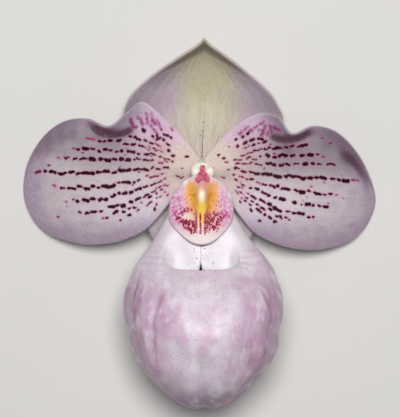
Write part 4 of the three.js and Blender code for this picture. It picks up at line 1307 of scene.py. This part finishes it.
def staminode_speckles(seed):
    """Short crimson strokes: a thick band low on the left, a looser scatter on the right, and lines down
    the ridge. They turn small and pink towards the sides."""
    random = np.random.default_rng(seed)
    spots = []

    def stroke(x, y, size, length, ripeness):
        way = math.atan2(y + 7, x) + random.normal(0, 0.6)
        for step in np.arange(0, length, 0.13):
            bead = size * random.uniform(0.6, 1.1)
            spots.append((x + step * math.cos(way), y + step * math.sin(way), bead, ripeness))
            way += random.normal(0, 0.14)

    for count, width, band in SPECKLE_BANDS:
        for _ in range(count):
            x, y = through(band, random.uniform(0, 1) ** 0.8) + random.normal(0, (0.8 * width, width))
            if abs(x) > 0.8 and y > -19.6:
                stroke(x, y, random.uniform(0.07, 0.21), random.uniform(0.1, 0.7), 1 - smoothstep(-x, 5, 8))
    for _ in range(RIGHT_STROKES):
        x = 1 + random.gamma(1.6, 1.5)
        y = -16.6 + 0.35 * x + random.normal(0, 1.25)
        if x < 7.4 and y < -12 - 0.1 * x and y > -19.3 + 0.25 * x:
            stroke(x, y, random.uniform(0.06, 0.2), random.uniform(0.1, 0.6), 1 - smoothstep(x, 4.2, 7.2))
    for _ in range(SIDE_STROKES):
        x, y = random.choice([-1, 1]) * random.uniform(3.6, 7.6), random.uniform(-14.5, -9)
        stroke(x, y, random.uniform(0.05, 0.14), random.uniform(0, 0.4), 0.1)
    for _ in range(LEFT_STROKES):
        x, y = random.normal(-4.0, 1.0), random.normal(-12.9, 0.35)
        stroke(x, y, random.uniform(0.07, 0.16), random.uniform(0.1, 0.6), 0.7)
    for x, top, foot in SPECKLE_LINES:
        for y in np.arange(top, foot, -0.15):
            spots.append((x + random.normal(0, 0.08), y, random.uniform(0.03, 0.23), 1))
    return spots


def spread(x, y, middle, radii, power=2.0):
    """1 in the middle of an oval zone and 0 outside it."""
    return np.exp(-np.hypot((x - middle[0]) / radii[0], (y - middle[1]) / radii[1]) ** power)


def staminode_skin():
    finish, tree, skin = new_finish("staminode_skin", roughness=0.42, glow=0.35, coat=0.02, shine=0.2)
    down, _, depth = split(tree, kept(tree, "along", "Vector"))
    soft = uneven(tree, 0.9, 0.8, 4.0)

    def zone(layer, low, high, top=1.0):
        return rising(tree, plus(tree, kept(tree, layer), soft), low, high, top)

    pale = times(tree, zone("pink", 0.2, 0.9), rising(tree, grain(tree, 0.7), 0.5, 0.65, 0.6))
    amber = mixed(tree, rising(tree, grain(tree, 0.8, 4.0), 0.35, 0.65), paint("cf8632"), paint("ecb24e"))
    blotches = times(tree, rising(tree, grain(tree, 0.9), 0.42, 0.6, 0.7), zone("magenta", 0.4, 0.9))
    spot = plus(tree, kept(tree, "spot"), uneven(tree, 0.2, 0.25, 1.0))
    dark = mixed(tree, rising(tree, kept(tree, "ripe"), 0.0, 0.75), paint("b94a92"), paint("8a0028"))
    # The rim: a painted highlight along the upper margin and the shoulders, turning into painted shade
    # along the lower margin, where it curls down towards the side lobes.
    thin = rising(tree, absolute(tree, depth), 0.4, 0.12, 0.8)
    rim = plus(tree, times(tree, thin, rising(tree, down, 0.12, 0.2)), kept(tree, "rim"))
    colour = layered(tree, paint("e4c8cd"), [
        (rising(tree, down, 0.74, 0.86), "e9dedd"),
        (zone("pink", 0.1, 0.9), "d6a6c4"),
        (pale, "f0e2ea"),
        (zone("peach", 0.1, 0.9, 0.85), "dd9f82"),
        (zone("orange", -0.05, 0.85, 0.9), "dfa571"),
        (zone("orange", 0.35, 1.15), amber),
        (zone("rust", 0.2, 0.9, 0.8), "b4531a"),
        (kept(tree, "yellow"), "efc94f"),
        # the painted highlight on the ridge and the white blotches
        (kept(tree, "light"), "faf0d2"),
        (zone("magenta", 0.0, 1.1), "da7288"),
        (blotches, "ab3560"),
        (rising(tree, spot, 0.3, 0.0, 0.5), "dc6690"),
        (rising(tree, spot, 0.08, -0.04, 0.97), dark),
        # painted highlight on the upper rim, painted shade on the lower
        (rim, mixed(tree, rising(tree, down, 0.35, 0.6), paint("f8f4f4"), paint("b3a5ab"))),
    ])
    colour_skin(tree, skin, colour, grain(tree, 0.22, 1.0), 0.03)
    return finish


staminode = blade("staminode", staminode_surface, STAMINODE_MESH, STAMINODE_THICKNESS, staminode_relief)
place, along = points_of(staminode), points_of(staminode, "along")
x, y, front = place[:, 0], place[:, 1], along[:, 2] >= 0
gap, ripe = nearest_spot(place, staminode_speckles(9))
keep(staminode.data, spot=gap + 0.5 * ~front, ripe=ripe)
for layer, ovals in ZONES.items():
    total = sum(strength * spread(x, y, middle, radii, power) for middle, radii, strength, power in ovals)
    keep(staminode.data, **{layer: np.clip(total, 0, 1.2) * front})
neck = np.interp(-y, *np.transpose(MAGENTA_NECK))
foot = 6.5 - 0.6 * bell(x, 0.4, 0.7)
magenta = smoothstep(neck - abs(x - 0.3), -0.45, 0.35) * smoothstep(foot + y, -0.5, 1.6)
pink = smoothstep(abs(x), 2.6, 6.0) * smoothstep(-y, 5, 8.5) * smoothstep(y, -18.5, -15)
keep(staminode.data, magenta=magenta * front, pink=pink * front)
dress(staminode, staminode_skin(), "staminode")


# ---- table, light and camera ---------------------------------------------------------------------
# A plain pale table top, one large soft lamp above the flower and an even pale sky, all in metres. The
# camera looks straight down into the flower.

CAMERA_HEIGHT = 0.442
CAMERA_MIDDLE = (0.00015, 0.0031)
VIEW_HEIGHT = 0.1126
VIEW_LEVEL = 0.012
SENSOR = 36.0
TABLE_SIZE = 3
TABLE_LEVEL = -0.00005
LAMP_PLACE = (0.01, 0.10, 0.55)
LAMP_AIM = (0, -0.005, 0.01)
LAMP_SIZE = 0.2
LAMP_POWER = 2.75
SKY_STRENGTH = 0.16

bpy.ops.mesh.primitive_plane_add(size=TABLE_SIZE, location=(0, 0, TABLE_LEVEL))
table = bpy.context.active_object
table.name = "table"
table_finish, tree, skin = new_finish("table_top", roughness=0.7)
shade = mixed(tree, grain(tree, 30.0), paint("d9d7d4"), paint("dddbd8"))
tree.links.new(shade, skin.inputs["Base Color"])
table.data.materials.append(table_finish)

lamp = bpy.data.objects.new("lamp", bpy.data.lights.new("lamp", "AREA"))
lamp.data.shape, lamp.data.size, lamp.data.energy = "DISK", LAMP_SIZE, LAMP_POWER
lamp.location = LAMP_PLACE
lamp.rotation_euler = (Vector(LAMP_AIM) - lamp.location).to_track_quat("-Z", "Y").to_euler()
bpy.context.collection.objects.link(lamp)

sky = bpy.data.worlds.new("sky")
sky.use_nodes = True
sky.node_tree.nodes["Background"].inputs["Color"].default_value = paint("f4f4f6")
sky.node_tree.nodes["Background"].inputs["Strength"].default_value = SKY_STRENGTH
bpy.context.scene.world = sky

camera = bpy.data.objects.new("camera", bpy.data.cameras.new("camera"))
camera.data.sensor_width = SENSOR
camera.data.lens = SENSOR * (CAMERA_HEIGHT - VIEW_LEVEL) / VIEW_HEIGHT
camera.data.clip_start, camera.data.clip_end = 0.01, 10
camera.location = (*CAMERA_MIDDLE, CAMERA_HEIGHT)
bpy.context.collection.objects.link(camera)
bpy.context.scene.camera = camera
bpy.context.scene.view_settings.view_transform = "Standard"
